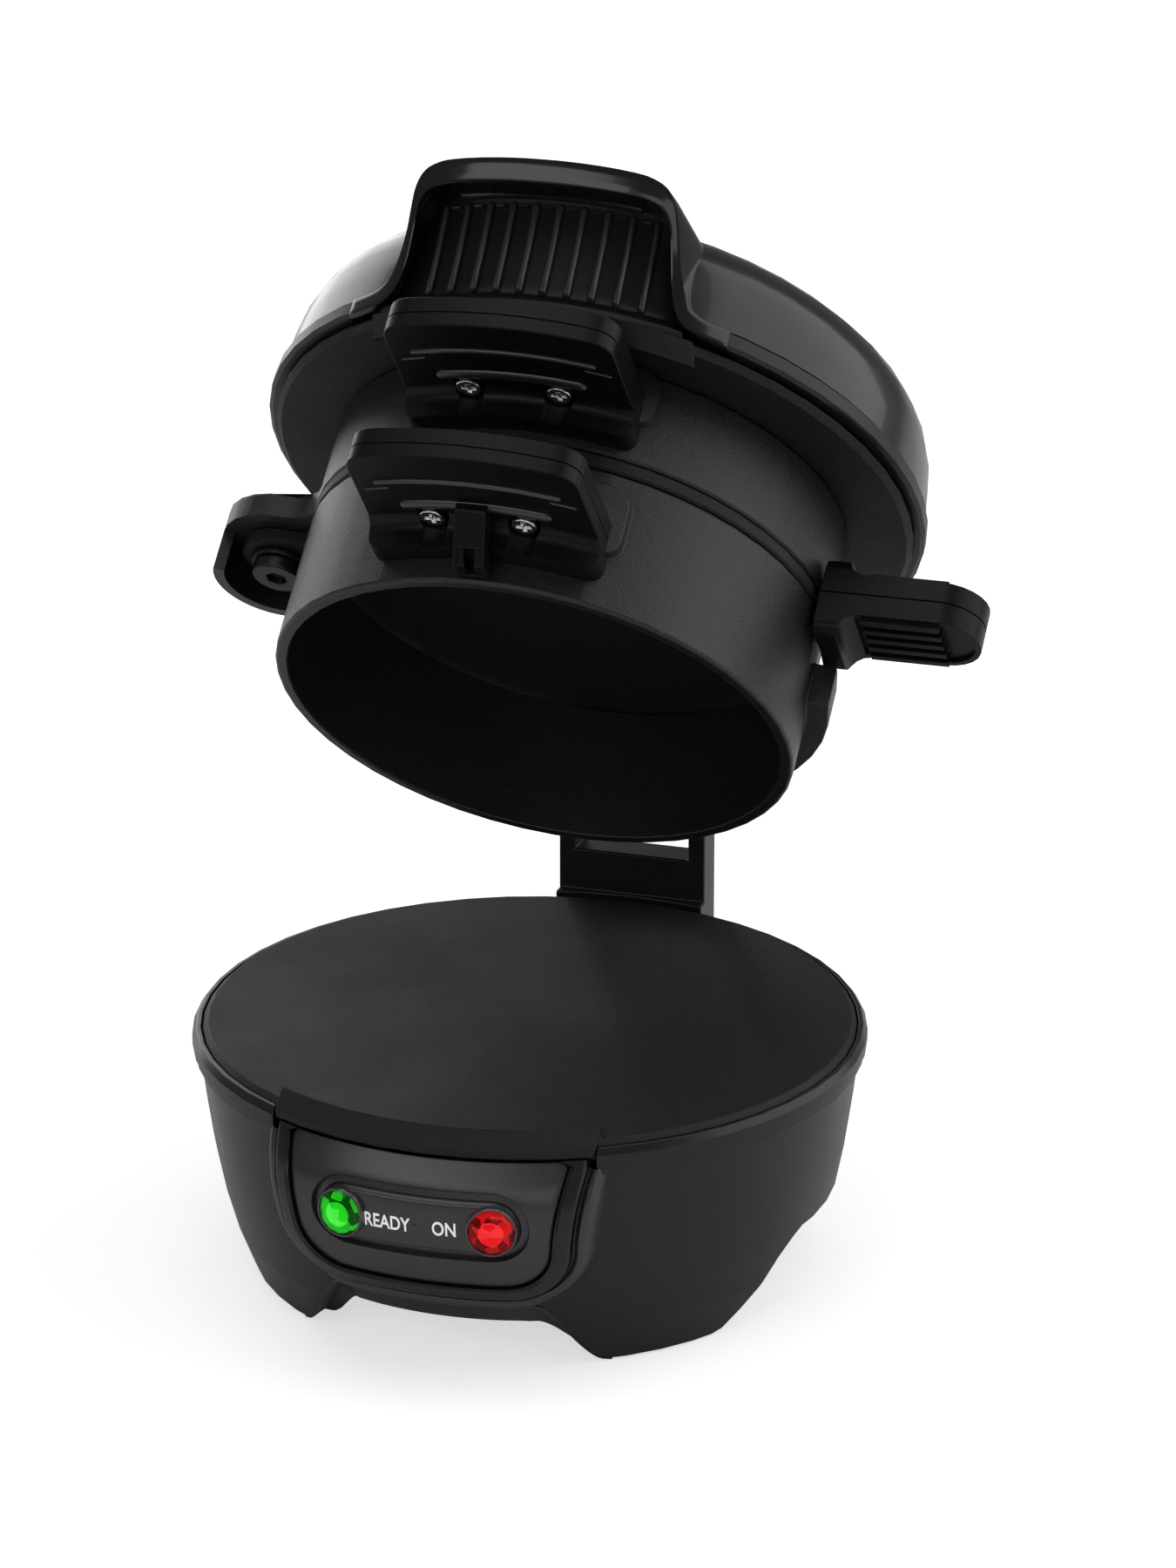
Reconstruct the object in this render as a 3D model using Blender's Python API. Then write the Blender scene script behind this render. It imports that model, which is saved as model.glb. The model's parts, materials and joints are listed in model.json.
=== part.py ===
"""Breakfast sandwich maker, built open: a base with a heating plate, two rings, an egg plate and a lid.

Metres, Z up, the front faces -Y. The origin is the centre of the lower heating plate's cooking face.
The rings and the lid are drawn closed, level above the plate. One empty on the rear hinge tilts them open.
"""

import math

import bmesh
import bpy
from mathutils import Matrix, Vector

# Shared by all pieces
GAP = 0.0003
OVERRUN = 0.004
SINK = 0.0008
WALL = 0.0025
ROUND_STEPS = 48
DISC_STEPS = 24
SMALL_STEPS = 12
CORNER_STEPS = 4
WELD_REACH = 0.00001

# Base housing
PLATE_RADIUS = 0.072
PLATE_THICKNESS = 0.0045
PLATE_CHAMFER = 0.0012
FLOOR_DEPTH = 0.056
TRIM_LAP = 0.0023
TRIM_RADIUS = PLATE_RADIUS + TRIM_LAP
TRIM_INSET = 0.0005
TRIM_TOP_DEPTH = 0.001
TRIM_BOTTOM_DEPTH = 0.007
TRIM_STEP = 0.0006
TRIM_FLANGE = 0.006
BASE_INSET = 0.0017
BASE_TOP_RADIUS = TRIM_RADIUS - BASE_INSET
BASE_TAPER = 0.00544
BASE_TUCK = 0.0056
BASE_SIDE_STEPS = 5
LEDGE_WIDTH = 0.011
LEDGE_THICKNESS = 0.002
FOOT_FLANGE_WIDTH = 0.0115
FOOT_FLANGE_THICKNESS = 0.0025
FOOT_PAD_RADIUS = 0.0036
FOOT_PAD_PROUD = 0.0006
FOOT_PAD_THICKNESS = 0.0016
FOOT_ANGLE = math.radians(45)
FOOT_CIRCLE = BASE_TOP_RADIUS - BASE_TAPER - BASE_TUCK
FOOT_FRONT_WIDTH = 0.0086
FOOT_SIDE_WIDTH = 0.0087
FRONT_ARCH_FOOT = FOOT_CIRCLE * math.cos(FOOT_ANGLE) - FOOT_FRONT_WIDTH
FRONT_ARCH_RUN = 0.0134
ARCH_BAND = 0.0058
ARCH_BAND_DEPTH = 0.0012
SIDE_ARCH_HEIGHT = 0.020
SIDE_ARCH_FOOT = FOOT_CIRCLE * math.cos(FOOT_ANGLE) - FOOT_SIDE_WIDTH
SIDE_ARCH_RUN = 0.0208
ARCH_STEPS = 6
COVER_DEPTH = 0.0335
BRACKET_BOTTOM_DEPTH = COVER_DEPTH
COVER_THICKNESS = 0.002
COVER_SCREW_INSET = 0.0226
COVER_SCREW_COUNT = 3
GLAND_DROP = 0.006
GLAND_DEPTH = COVER_DEPTH + GLAND_DROP
GLAND_RADIUS = 0.0034
GLAND_BORE = 0.002
GLAND_FLANGE = 0.0012
GLAND_LENGTH = 0.007
GLAND_TO_ARCH = 0.0055
FRONT_ARCH_HEIGHT = FLOOR_DEPTH - GLAND_DEPTH - GLAND_TO_ARCH

# Drip lip of both heating plates
LIP_HEIGHT = 0.0023
LIP_SLOPE = 0.0038
LIP_CREST = 0.0015
LIP_OUTER_RADIUS = TRIM_RADIUS - TRIM_INSET
LIP_CREST_RADIUS = LIP_OUTER_RADIUS - LIP_SLOPE
LIP_INNER_RADIUS = LIP_CREST_RADIUS - LIP_CREST
LIP_SKIRT = 0.003

# Control panel and its frame
PANEL_PROUD = 0.0045
PANEL_REACH = TRIM_RADIUS + PANEL_PROUD
PANEL_TOP_HALF_WIDTH = 0.0345
PANEL_MID_HALF_WIDTH = 0.0318
NOTCH_MARGIN = 0.0014
LIP_END_GAP = 0.0004
NOTCH_HALF_WIDTH = PANEL_TOP_HALF_WIDTH + NOTCH_MARGIN
LIP_HALF_WIDTH = NOTCH_HALF_WIDTH - LIP_END_GAP
PANEL_CORNER = 0.0145
PANEL_BOTTOM_DEPTH = 0.0362
PANEL_FRAME_WIDTH = 0.0036
PANEL_RECESS = 0.0008
STADIUM_LENGTH = 0.0484
STADIUM_HEIGHT = 0.0160
STADIUM_DEPTH = 0.0174
LIGHT_SPREAD = 0.0332
LIGHT_RADIUS = 0.0055
LIGHT_DOME = 0.0022
LIGHT_BODY = 0.005

# Rear hinge
HINGE_OUT = 0.00355
HINGE_BEHIND = TRIM_RADIUS + HINGE_OUT
HINGE_ABOVE = 0.03115
OPEN_ANGLE = math.radians(47.64)
KNUCKLE_RADIUS = 0.0055
PIN_RADIUS = 0.002
PIN_HEAD_RADIUS = 0.0036
PIN_HEAD = 0.0013
RING_ARM_HALF = 0.0044
ARM_THICKNESS = 0.004
ARM_GAP = 0.0004
BRACKET_TOP = 0.010
BRACKET_REAR = HINGE_BEHIND + KNUCKLE_RADIUS + ARM_GAP
BRACKET_FRONT = HINGE_BEHIND - KNUCKLE_RADIUS / 2
BRACKET_HALF = RING_ARM_HALF + 3 * (ARM_THICKNESS + ARM_GAP)

# Rings and egg plate
RING_INSET = 0.0144
RING_RADIUS = PLATE_RADIUS - RING_INSET
RING_WALL = 0.0028
RING_CHAMFER = 0.0005
RING_SEAT = 0.0004
EGG_LOW = 0.0325
EGG_THICKNESS = 0.0032
EGG_HIGH = EGG_LOW + EGG_THICKNESS
UPPER_RING_HEIGHT = 0.0219
LID_PLATE_LOW = EGG_HIGH + UPPER_RING_HEIGHT
UPPER_RING_TOP = LID_PLATE_LOW - GAP
EGG_DISH_DEPTH = 0.0016
EGG_RIM = 0.0035
PAD_REACH = 0.0024
PAD_HALF_WIDTH = 0.0275
PAD_LOW = 0.012
PAD_TOP_MARGIN = 0.0045
PAD_HIGH = EGG_LOW - PAD_TOP_MARGIN
PAD_CORNER = 0.004

# Yokes behind the rings, which carry their hinge arms
YOKE_REACH = 0.005
LOWER_YOKE_LOW = 0.014
LOWER_YOKE_HALF_ANGLE = math.radians(84)
UPPER_YOKE_LOW = 0.0043
UPPER_YOKE_HIGH = 0.0163
UPPER_YOKE_HALF_ANGLE = math.radians(30)

# Front tabs, drawn for the lower ring
TAB_OUT = 0.0304
TAB_REACH = RING_RADIUS + TAB_OUT
TAB_HALF_WIDTH = 0.0252
TAB_CORNER = 0.0055
TAB_DROP = 0.0005
TAB_TOP = 0.0189
TAB_SEAM = 0.0151
TAB_LOW = 0.0118
TAB_RAISE = EGG_LOW - TAB_DROP
TAB_EDGE = 0.0012
TAB_CHAMFER = 0.0022
TAB_FLANGE_LOW = 0.0058
TAB_FLANGE_THICKNESS = 0.0032
TAB_ROOT = 0.003
TAB_FRONT_BAR_LENGTH = 0.040
TAB_FRONT_BAR_INSET = 0.006
TAB_REAR_BAR_LENGTH = 0.029
TAB_REAR_BAR_INSET = 0.0145
TAB_BAR_WIDTH = 0.0014
TAB_BAR_PROUD = 0.0006
SCREW_SPREAD = 0.020
SCREW_SETBACK = 0.0045
SCREW_OUT = RING_RADIUS + PAD_REACH + SCREW_SETBACK
SCREW_HEAD_RADIUS = 0.0028
SCREW_HEAD = 0.0016
SCREW_SHANK_RADIUS = 0.0014
SCREW_SHANK = 0.0035
CROSS_LENGTH = 0.0034
CROSS_WIDTH = 0.0009
CROSS_DEPTH = 0.0007
COUNTERBORE_RADIUS = 0.0036
CLIP_HALF_WIDTH = 0.0034
CLIP_LOW = 0.0009
CLIP_LENGTH = 0.0134
CLIP_OUT = RING_RADIUS + CLIP_LENGTH
CLIP_CHANNEL = 0.0018

# Egg plate pivot, drawn closed
PIVOT_SETOUT = 0.0089
PIVOT_OUT = RING_RADIUS + PIVOT_SETOUT
EAR_RADIUS = 0.009
EAR_ROOT = 0.006
ROOF_RADIUS = 0.0142
ROOF_ROOT = 0.008
ROOF_THICKNESS = 0.0058
SKIRT_LOW = 0.0265
SKIRT_FROM = math.radians(92)
SKIRT_TO = math.radians(200)
BOLT_RADIUS = 0.0025
BOLT_HEAD_RADIUS = 0.0058
BOLT_HEAD = 0.0028
BOLT_SOCKET_RADIUS = 0.0025
BOLT_SOCKET_DEPTH = 0.0018
WASHER_RADIUS = 0.0068
WASHER_THICKNESS = 0.0012

# Egg plate handle
GRIP_OUT = 0.0362
GRIP_REACH = RING_RADIUS + GRIP_OUT
GRIP_HALF_WIDTH = 0.0094
GRIP_ASIDE = 0.0014
GRIP_BELOW = 0.0051
GRIP_ABOVE = 0.0048
GRIP_EDGE = 0.0014
GRIP_FLAT = 0.0001
TANG_OUT = 0.0224
TANG_REACH = RING_RADIUS + TANG_OUT
TANG_HALF_WIDTH = 0.0045
TANG_THICKNESS = 0.0020
SHIELD_GAP = 0.0016
SHIELD_INNER = RING_RADIUS + SHIELD_GAP
SHIELD_THICKNESS = 0.0045
SHIELD_CORNER = 0.0030
SHIELD_ROOT = 0.0055
SHIELD_BELOW = 0.0099
SHIELD_ABOVE = 0.0088
GRIP_RIB_COUNT = 5
GRIP_RIB_START = 0.0048
GRIP_RIB_MARGIN = 0.0080
GRIP_RIB_WIDTH = 0.0017
GRIP_RIB_PROUD = 0.0011
GRIP_FIELD_DEPTH = 0.0008

# Lid, drawn closed
LID_PLATE_EDGE = 0.0016
LID_BOSS_INSET = 0.008
LID_BOSS_RADIUS = PLATE_RADIUS - LID_BOSS_INSET
LID_TRIM_LIFT = 0.0027
LID_TRIM_LOW = LID_PLATE_LOW + LID_TRIM_LIFT
LID_TRIM_HEIGHT = 0.004
LID_TRIM_HIGH = LID_TRIM_LOW + LID_TRIM_HEIGHT
LID_HEIGHT = 0.0302
LID_INSET = 0.0009
LID_SIDE_RADIUS = TRIM_RADIUS - LID_INSET
LID_POST_RADIUS = 0.0011
LID_POST_ANGLES = [math.radians(angle) for angle in (-34, 34, 62, 128, 232)]
ELEMENT_INSET = 0.026
ELEMENT_RADIUS = PLATE_RADIUS - ELEMENT_INSET
ELEMENT_WIRE = 0.003
ELEMENT_TURN = math.radians(300)
ELEMENT_POINTS = 30
THERMOSTAT_RADIUS = 0.0085
THERMOSTAT_HEIGHT = 0.006

# Lid handle: half widths and reach of its hood, from foot to roof
HOOD_FOOT = LID_TRIM_HIGH + ARM_GAP
HOOD_HEIGHT = 0.0237
HOOD_ROOF = HOOD_FOOT + HOOD_HEIGHT
HOOD_PROUD = 0.0122
HOOD_REACH = TRIM_RADIUS + HOOD_PROUD
HOOD_HALF_WIDTH = 0.0284
HOOD_CORNER = 0.0065
HOOD_LENGTH = 0.0415
HOOD_BACK = HOOD_REACH - HOOD_LENGTH
HOOD_RIM = 0.0042
HOOD_ROOF_THICKNESS = 0.0048
POCKET_CORNER = 0.005
POCKET_FOOT_FLARE = 0.005
GRIP_WALL = 0.0013
GRIP_WALL_INSET = 0.0055
GRIP_WALL_FOOT = LID_SIDE_RADIUS - GRIP_WALL_INSET
GRIP_WALL_LEAN = 0.0085
LID_RIB_COUNT = 10
LID_RIB_PITCH = 0.00524
LID_RIB_WIDTH = 0.0016
LID_RIB_PROUD = 0.0012
RIDGE_LENGTH = 0.039
RIDGE_PROUD = 0.0016
RIDGE_HEIGHT = 0.0013

# Rows of (height share, half width share, length share) for the hood, foot to roof
hood_section_shares = (
    (0.0, 1.26, 0.614),
    (0.05, 1.16, 0.646),
    (0.13, 1.08, 0.700),
    (0.30, 1.02, 0.792),
    (0.60, 1.00, 0.906),
    (0.84, 0.985, 0.979),
    (0.95, 0.95, 0.994),
    (1.0, 0.88, 0.942),
)
# Rows of (height share, radius share) for the lid, from the trim ring to the crown
lid_side_shares = (
    (0.0, 1.0),
    (0.2, 0.992),
    (0.42, 0.978),
    (0.56, 0.957),
    (0.69, 0.921),
    (0.80, 0.866),
    (0.89, 0.780),
    (0.96, 0.620),
    (0.99, 0.380),
)
# Rows of (depth share, reach share) for the face of the control panel, top to bottom
panel_face_shares = (
    (0.0, 0.0),
    (0.10, 0.12),
    (0.20, 0.62),
    (0.28, 0.93),
    (0.38, 1.0),
    (0.55, 0.93),
    (0.75, 0.52),
    (0.90, 0.05),
    (1.0, -0.55),
)

SHARP_ANGLE = math.radians(38)
HINGE = Vector((0, HINGE_BEHIND, HINGE_ABOVE))
PIVOT = Vector((-PIVOT_OUT, 0, (EGG_LOW + EGG_HIGH) / 2))
AXES = {
    "X": Matrix.Rotation(math.radians(120), 4, Vector((1, 1, 1))),
    "Y": Matrix.Rotation(math.radians(90), 4, "X"),
    "Z": Matrix(),
}

# Colour, roughness and metallic value of each finish
FINISHES = {
    "satin black moulding": ((0.020, 0.020, 0.021), 0.42, 0.0),
    "gloss black moulding": ((0.016, 0.016, 0.017), 0.16, 0.0),
    "non-stick coating": ((0.018, 0.018, 0.018), 0.58, 0.1),
    "bare steel": ((0.60, 0.60, 0.59), 0.28, 1.0),
    "blackened steel": ((0.05, 0.05, 0.05), 0.40, 0.8),
    "heater sheath": ((0.22, 0.21, 0.20), 0.50, 0.9),
    "thermostat ceramic": ((0.75, 0.72, 0.66), 0.60, 0.0),
    "black rubber": ((0.03, 0.03, 0.03), 0.85, 0.0),
    "green lens": ((0.04, 0.65, 0.05), 0.10, 0.0),
    "red lens": ((0.70, 0.03, 0.03), 0.10, 0.0),
}


def clear_scene():
    for found in list(bpy.data.objects):
        bpy.data.objects.remove(found)


def new_collection(name):
    made = bpy.data.collections.new(name)
    bpy.context.scene.collection.children.link(made)
    return made


def finish_for(name, finish):
    colour, roughness, metallic = FINISHES[finish]
    material = bpy.data.materials.new(name + " " + finish)
    material.use_nodes = True
    shader = material.node_tree.nodes["Principled BSDF"]
    shader.inputs["Base Color"].default_value = (*colour, 1)
    shader.inputs["Roughness"].default_value = roughness
    shader.inputs["Metallic"].default_value = metallic
    return material


def hinge_frame(name, place, parent=None, parent_place=None, tilt=0):
    """An empty on a joint's axis. Its children keep their closed coordinates."""
    empty = bpy.data.objects.new(name, None)
    PARTS.objects.link(empty)
    empty.location = place - parent_place if parent else place
    empty.rotation_euler = (tilt, 0, 0)
    empty.parent = parent
    empty["closed_place"] = list(place)
    return empty


def hang(obj, frame):
    """Hangs an object that is drawn in closed coordinates on a hinge's empty."""
    if frame:
        obj.parent = frame
        obj.location = -Vector(frame["closed_place"])
    return obj


def part(name, mesh, finish, frame=None):
    obj = bpy.data.objects.new(name, mesh)
    PARTS.objects.link(obj)
    mesh.materials.append(finish_for(name, finish))
    mesh.shade_smooth()
    mesh.set_sharp_from_angle(angle=SHARP_ANGLE)
    return hang(obj, frame)


def cutter(name, mesh, frame=None):
    obj = bpy.data.objects.new(name, mesh)
    CUTTERS.objects.link(obj)
    obj.hide_render = True
    obj.display_type = "WIRE"
    return hang(obj, frame)


def combine(obj, other, operation):
    change = obj.modifiers.new(operation.title() + " " + other.name, "BOOLEAN")
    change.operation = operation
    change.object = other
    change.solver = "EXACT"
    return obj


def cut(obj, *others):
    for other in others:
        combine(obj, other, "DIFFERENCE")
    return obj


def join(obj, *others):
    for other in others:
        combine(obj, other, "UNION")
    return obj


def keep_inside(obj, *others):
    for other in others:
        combine(obj, other, "INTERSECT")
    return obj


def finished(mesh, edit, close=WELD_REACH):
    edit_points = edit.verts[:]
    bmesh.ops.remove_doubles(edit, verts=edit_points, dist=close)
    bmesh.ops.recalc_face_normals(edit, faces=edit.faces[:])
    edit.to_mesh(mesh)
    edit.free()
    return mesh


def turned(name, profile, steps=ROUND_STEPS):
    """A closed profile of (radius, height) points, spun round the Z axis."""
    edit = bmesh.new()
    points = [edit.verts.new((radius, 0, height)) for radius, height in profile]
    for first, second in zip(points, points[1:] + points[:1]):
        edit.edges.new((first, second))
    bmesh.ops.spin(
        edit,
        geom=edit.verts[:] + edit.edges[:],
        axis=(0, 0, 1),
        cent=(0, 0, 0),
        angle=math.tau,
        steps=steps,
        use_merge=True,
    )
    loose = [edge for edge in edit.edges if not edge.link_faces]
    bmesh.ops.delete(edit, geom=loose, context="EDGES")
    return finished(bpy.data.meshes.new(name), edit)


def slab(name, outline, low, high, along="Z"):
    """A flat outline pushed from low to high along an axis: in (y, z) along X, and in (x, z) along Y."""
    curve = bpy.data.curves.new(name, "CURVE")
    curve.dimensions = "2D"
    curve.fill_mode = "BOTH"
    curve.extrude = (high - low) / 2
    spline = curve.splines.new("POLY")
    spline.points.add(len(outline) - 1)
    for point, (across, up) in zip(spline.points, outline):
        point.co = (across, up, 0, 1)
    spline.use_cyclic_u = True
    drawn = bpy.data.objects.new(name, curve)
    CUTTERS.objects.link(drawn)
    bpy.context.view_layer.update()
    graph = bpy.context.evaluated_depsgraph_get()
    mesh = bpy.data.meshes.new_from_object(drawn.evaluated_get(graph))
    bpy.data.objects.remove(drawn)
    bpy.data.curves.remove(curve)
    middle = (low + high) / 2
    if along == "Y":
        middle = -middle
    mesh.transform(AXES[along] @ Matrix.Translation((0, 0, middle)))
    edit = bmesh.new()
    edit.from_mesh(mesh)
    return finished(mesh, edit)


def rod(name, radius, low, high, place=(0, 0), along="Z", steps=SMALL_STEPS, tip_radius=None):
    """A cylinder or cone along an axis through place, which is given in the two other coordinates."""
    edit = bmesh.new()
    tip = radius if tip_radius is None else tip_radius
    bmesh.ops.create_cone(
        edit, cap_ends=True, segments=steps, radius1=radius, radius2=tip, depth=high - low
    )
    middle = (low + high) / 2
    if along == "Y":
        middle = -middle
    move = Matrix.Translation((place[0], place[1], middle))
    bmesh.ops.transform(edit, matrix=AXES[along] @ move, verts=edit.verts[:])
    return finished(bpy.data.meshes.new(name), edit)


def block(name, low, high):
    edit = bmesh.new()
    bmesh.ops.create_cube(edit, size=1)
    size = Vector(high) - Vector(low)
    bmesh.ops.scale(edit, vec=size, verts=edit.verts[:])
    bmesh.ops.translate(edit, vec=Vector(low) + size / 2, verts=edit.verts[:])
    return finished(bpy.data.meshes.new(name), edit)


def arc(centre, radius, start, stop, steps):
    return [
        (
            centre[0] + radius * math.cos(start + (stop - start) * step / steps),
            centre[1] + radius * math.sin(start + (stop - start) * step / steps),
        )
        for step in range(steps + 1)
    ]


def rounded(corners, radii, steps=CORNER_STEPS):
    """An outline whose corners are replaced by arcs of the given radii. A radius of 0 keeps the corner."""
    outline = []
    for index, corner in enumerate(corners):
        here = Vector(corner)
        if not radii[index]:
            outline.append(tuple(here))
            continue
        back = (Vector(corners[index - 1]) - here).normalized()
        ahead = (Vector(corners[(index + 1) % len(corners)]) - here).normalized()
        half = back.angle(ahead) / 2
        reach = radii[index] / math.tan(half)
        centre = here + (back + ahead).normalized() * radii[index] / math.sin(half)
        first = here + back * reach - centre
        turn = signed_turn(first, here + ahead * reach - centre)
        start = math.atan2(first.y, first.x)
        outline += arc(centre, radii[index], start, start + turn, steps)
    return outline


def signed_turn(first, second):
    return math.atan2(first.x * second.y - first.y * second.x, first.dot(second))


def loft(name, sections):
    """Joins closed sections of as many points each, and caps the two ends."""
    edit = bmesh.new()
    rings = [[edit.verts.new(point) for point in section] for section in sections]
    for lower, upper in zip(rings, rings[1:]):
        for index in range(len(lower)):
            after = (index + 1) % len(lower)
            edit.faces.new((lower[index], lower[after], upper[after], upper[index]))
    edit.faces.new(rings[0])
    edit.faces.new(rings[-1])
    return finished(bpy.data.meshes.new(name), edit)


def wedge(name, half_angle, reach, low, high, facing):
    """A pie slice about the Z axis, centred on the direction it is told to face."""
    rim = arc((0, 0), reach, facing - half_angle, facing + half_angle, SMALL_STEPS)
    return slab(name, [(0, 0)] + rim, low, high)


def soften(mesh, width, chosen, segments=2):
    """Rounds the edges whose two ends both pass a test."""
    edit = bmesh.new()
    edit.from_mesh(mesh)
    edges = [
        edge
        for edge in edit.edges
        if chosen(edge.verts[0].co) and chosen(edge.verts[1].co) and edge.calc_face_angle(0) > SHARP_ANGLE
    ]
    bmesh.ops.bevel(
        edit, geom=edges, offset=width, segments=segments, profile=0.5, affect="EDGES", clamp_overlap=True
    )
    return finished(mesh, edit)


def base_radius(depth):
    """Outer radius of the base housing at a depth under the plate's face."""
    share = (depth - TRIM_BOTTOM_DEPTH) / (FLOOR_DEPTH - TRIM_BOTTOM_DEPTH)
    return BASE_TOP_RADIUS - BASE_TAPER * share - BASE_TUCK * share**3


def base_side(top, bottom, offset, steps=BASE_SIDE_STEPS):
    """Points down the housing's side, moved outward by an offset."""
    depths = [top + (bottom - top) * step / steps for step in range(steps + 1)]
    return [(base_radius(depth) + offset, -depth) for depth in depths]


def arch(foot, run, height):
    """Half of an S-shaped arch edge: (across, height) from the foot up to the crown."""
    points = []
    for step in range(ARCH_STEPS + 1):
        share = step / ARCH_STEPS
        rise = (1 - math.cos(math.pi * share)) / 2
        points.append((foot - run * share, -FLOOR_DEPTH + height * rise))
    return points


def arch_cutter(name, foot, run, height, along):
    right = arch(foot, run, height)
    left = [(-across, up) for across, up in reversed(right)]
    under = -FLOOR_DEPTH - OVERRUN
    outline = [(foot, under)] + right + left + [(-foot, under)]
    return cutter(name, slab(name, outline, -TRIM_RADIUS, TRIM_RADIUS, along))


def front_arch():
    """The arch at front and rear, and round the front one a shallow step that reaches one band higher."""
    high = BRACKET_BOTTOM_DEPTH + WALL
    skin = base_side(high, FOOT_PAD_THICKNESS + FLOOR_DEPTH, OVERRUN)
    skin += reversed(base_side(high, FOOT_PAD_THICKNESS + FLOOR_DEPTH, -ARCH_BAND_DEPTH))
    band = cutter("arch_band", turned("arch_band", skin))
    reach = TRIM_RADIUS + OVERRUN
    floor = -FLOOR_DEPTH - 2 * OVERRUN
    keep_inside(band, cutter("front_half", block("front_half", (-reach, -reach, floor), (reach, 0, 0))))
    crown = FRONT_ARCH_HEIGHT - FLOOR_DEPTH
    room = cutter("arch_room", block("arch_room", (-reach, -reach, floor), (reach, reach, crown)))
    join(room, band)
    height = FRONT_ARCH_HEIGHT + ARCH_BAND
    return keep_inside(arch_cutter("front_arch", FRONT_ARCH_FOOT, FRONT_ARCH_RUN, height, "Y"), room)


def foot_places():
    radius = base_radius(FLOOR_DEPTH) - FOOT_FLANGE_WIDTH / 2
    for index in range(4):
        angle = FOOT_ANGLE + index * math.pi / 2
        yield radius * math.cos(angle), radius * math.sin(angle)


def make_base_shell():
    top = TRIM_BOTTOM_DEPTH + GAP
    bottom = FLOOR_DEPTH - FOOT_PAD_PROUD
    flange_inner = base_radius(bottom) - FOOT_FLANGE_WIDTH
    ledge_inner = BASE_TOP_RADIUS - LEDGE_WIDTH
    profile = base_side(top, bottom, 0)
    profile += [(flange_inner, -bottom), (flange_inner, -bottom + FOOT_FLANGE_THICKNESS)]
    profile += reversed(base_side(top + LEDGE_THICKNESS, bottom - FOOT_FLANGE_THICKNESS, -WALL))
    profile += [(ledge_inner, -top - LEDGE_THICKNESS), (ledge_inner, -top)]
    shell = part("base_shell", turned("base_shell", profile), "satin black moulding")
    cut(shell, front_arch())
    cut(shell, arch_cutter("side_arch", SIDE_ARCH_FOOT, SIDE_ARCH_RUN, SIDE_ARCH_HEIGHT, "X"))
    pocket_top = -FLOOR_DEPTH + FOOT_PAD_THICKNESS + GAP
    for index, place in enumerate(foot_places()):
        name = "foot_pocket_%d" % index
        pocket = rod(name, FOOT_PAD_RADIUS + GAP, -FLOOR_DEPTH - OVERRUN, pocket_top, place)
        cut(shell, cutter(name, pocket))
    bore = rod("gland_hole", GLAND_RADIUS + GAP, BASE_TOP_RADIUS / 2, TRIM_RADIUS, (0, -GLAND_DEPTH), "Y")
    cut(shell, cutter("gland_hole", bore))


def make_foot_pads():
    names = ("rear_right", "rear_left", "front_left", "front_right")
    for name, place in zip(names, foot_places()):
        title = "foot_pad_" + name
        pad = rod(title, FOOT_PAD_RADIUS, -FLOOR_DEPTH, -FLOOR_DEPTH + FOOT_PAD_THICKNESS, place)
        part(title, pad, "black rubber")


def make_trim_ring():
    inner = PLATE_RADIUS + GAP
    seat = -PLATE_THICKNESS - GAP
    profile = [
        (TRIM_RADIUS - TRIM_TOP_DEPTH, -TRIM_TOP_DEPTH),
        (TRIM_RADIUS, -TRIM_TOP_DEPTH - PLATE_CHAMFER - GAP),
        (TRIM_RADIUS, -PLATE_THICKNESS - TRIM_STEP),
        (TRIM_RADIUS - TRIM_STEP, -PLATE_THICKNESS - TRIM_STEP),
        (TRIM_RADIUS - TRIM_STEP, -TRIM_BOTTOM_DEPTH),
        (inner - TRIM_FLANGE, -TRIM_BOTTOM_DEPTH),
        (inner - TRIM_FLANGE, seat),
        (inner, seat),
        (inner, -TRIM_TOP_DEPTH),
    ]
    ring = part("base_trim_ring", turned("base_trim_ring", profile), "satin black moulding")
    low = -TRIM_BOTTOM_DEPTH - OVERRUN
    front = -TRIM_RADIUS - OVERRUN
    notch = block("trim_notch", (-NOTCH_HALF_WIDTH, front, low), (NOTCH_HALF_WIDTH, 0, OVERRUN))
    cut(ring, cutter("trim_notch", notch))


def heating_plate(name, frame, boss_radius, boss_height, skirt):
    """A cast plate with its cooking face at height 0, facing up, and a drip lip at the front."""
    profile = [
        (0, 0),
        (PLATE_RADIUS - PLATE_CHAMFER, 0),
        (PLATE_RADIUS, -PLATE_CHAMFER),
        (PLATE_RADIUS, -boss_height),
        (boss_radius, -boss_height),
        (boss_radius, -PLATE_THICKNESS),
        (0, -PLATE_THICKNESS),
    ]
    if boss_radius == PLATE_RADIUS:
        del profile[4:5]
    lip_profile = [
        (LIP_INNER_RADIUS, LIP_HEIGHT - TRIM_STEP),
        (LIP_CREST_RADIUS, LIP_HEIGHT),
        (LIP_OUTER_RADIUS, -PLATE_CHAMFER),
        (LIP_OUTER_RADIUS, -skirt),
        (LIP_INNER_RADIUS, -skirt),
    ]
    plate = turned(name, profile)
    lip = cutter(name + "_lip", turned(name + "_lip", lip_profile), frame)
    slice_name = name + "_lip_slice"
    low = (-LIP_HALF_WIDTH, -LIP_OUTER_RADIUS - OVERRUN, -OVERRUN)
    high = (LIP_HALF_WIDTH, 0, OVERRUN)
    lip_slice = cutter(slice_name, block(slice_name, low, high), frame)
    keep_inside(lip, lip_slice)
    obj = part(name, plate, "non-stick coating", frame)
    return join(obj, lip), lip, lip_slice


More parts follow.
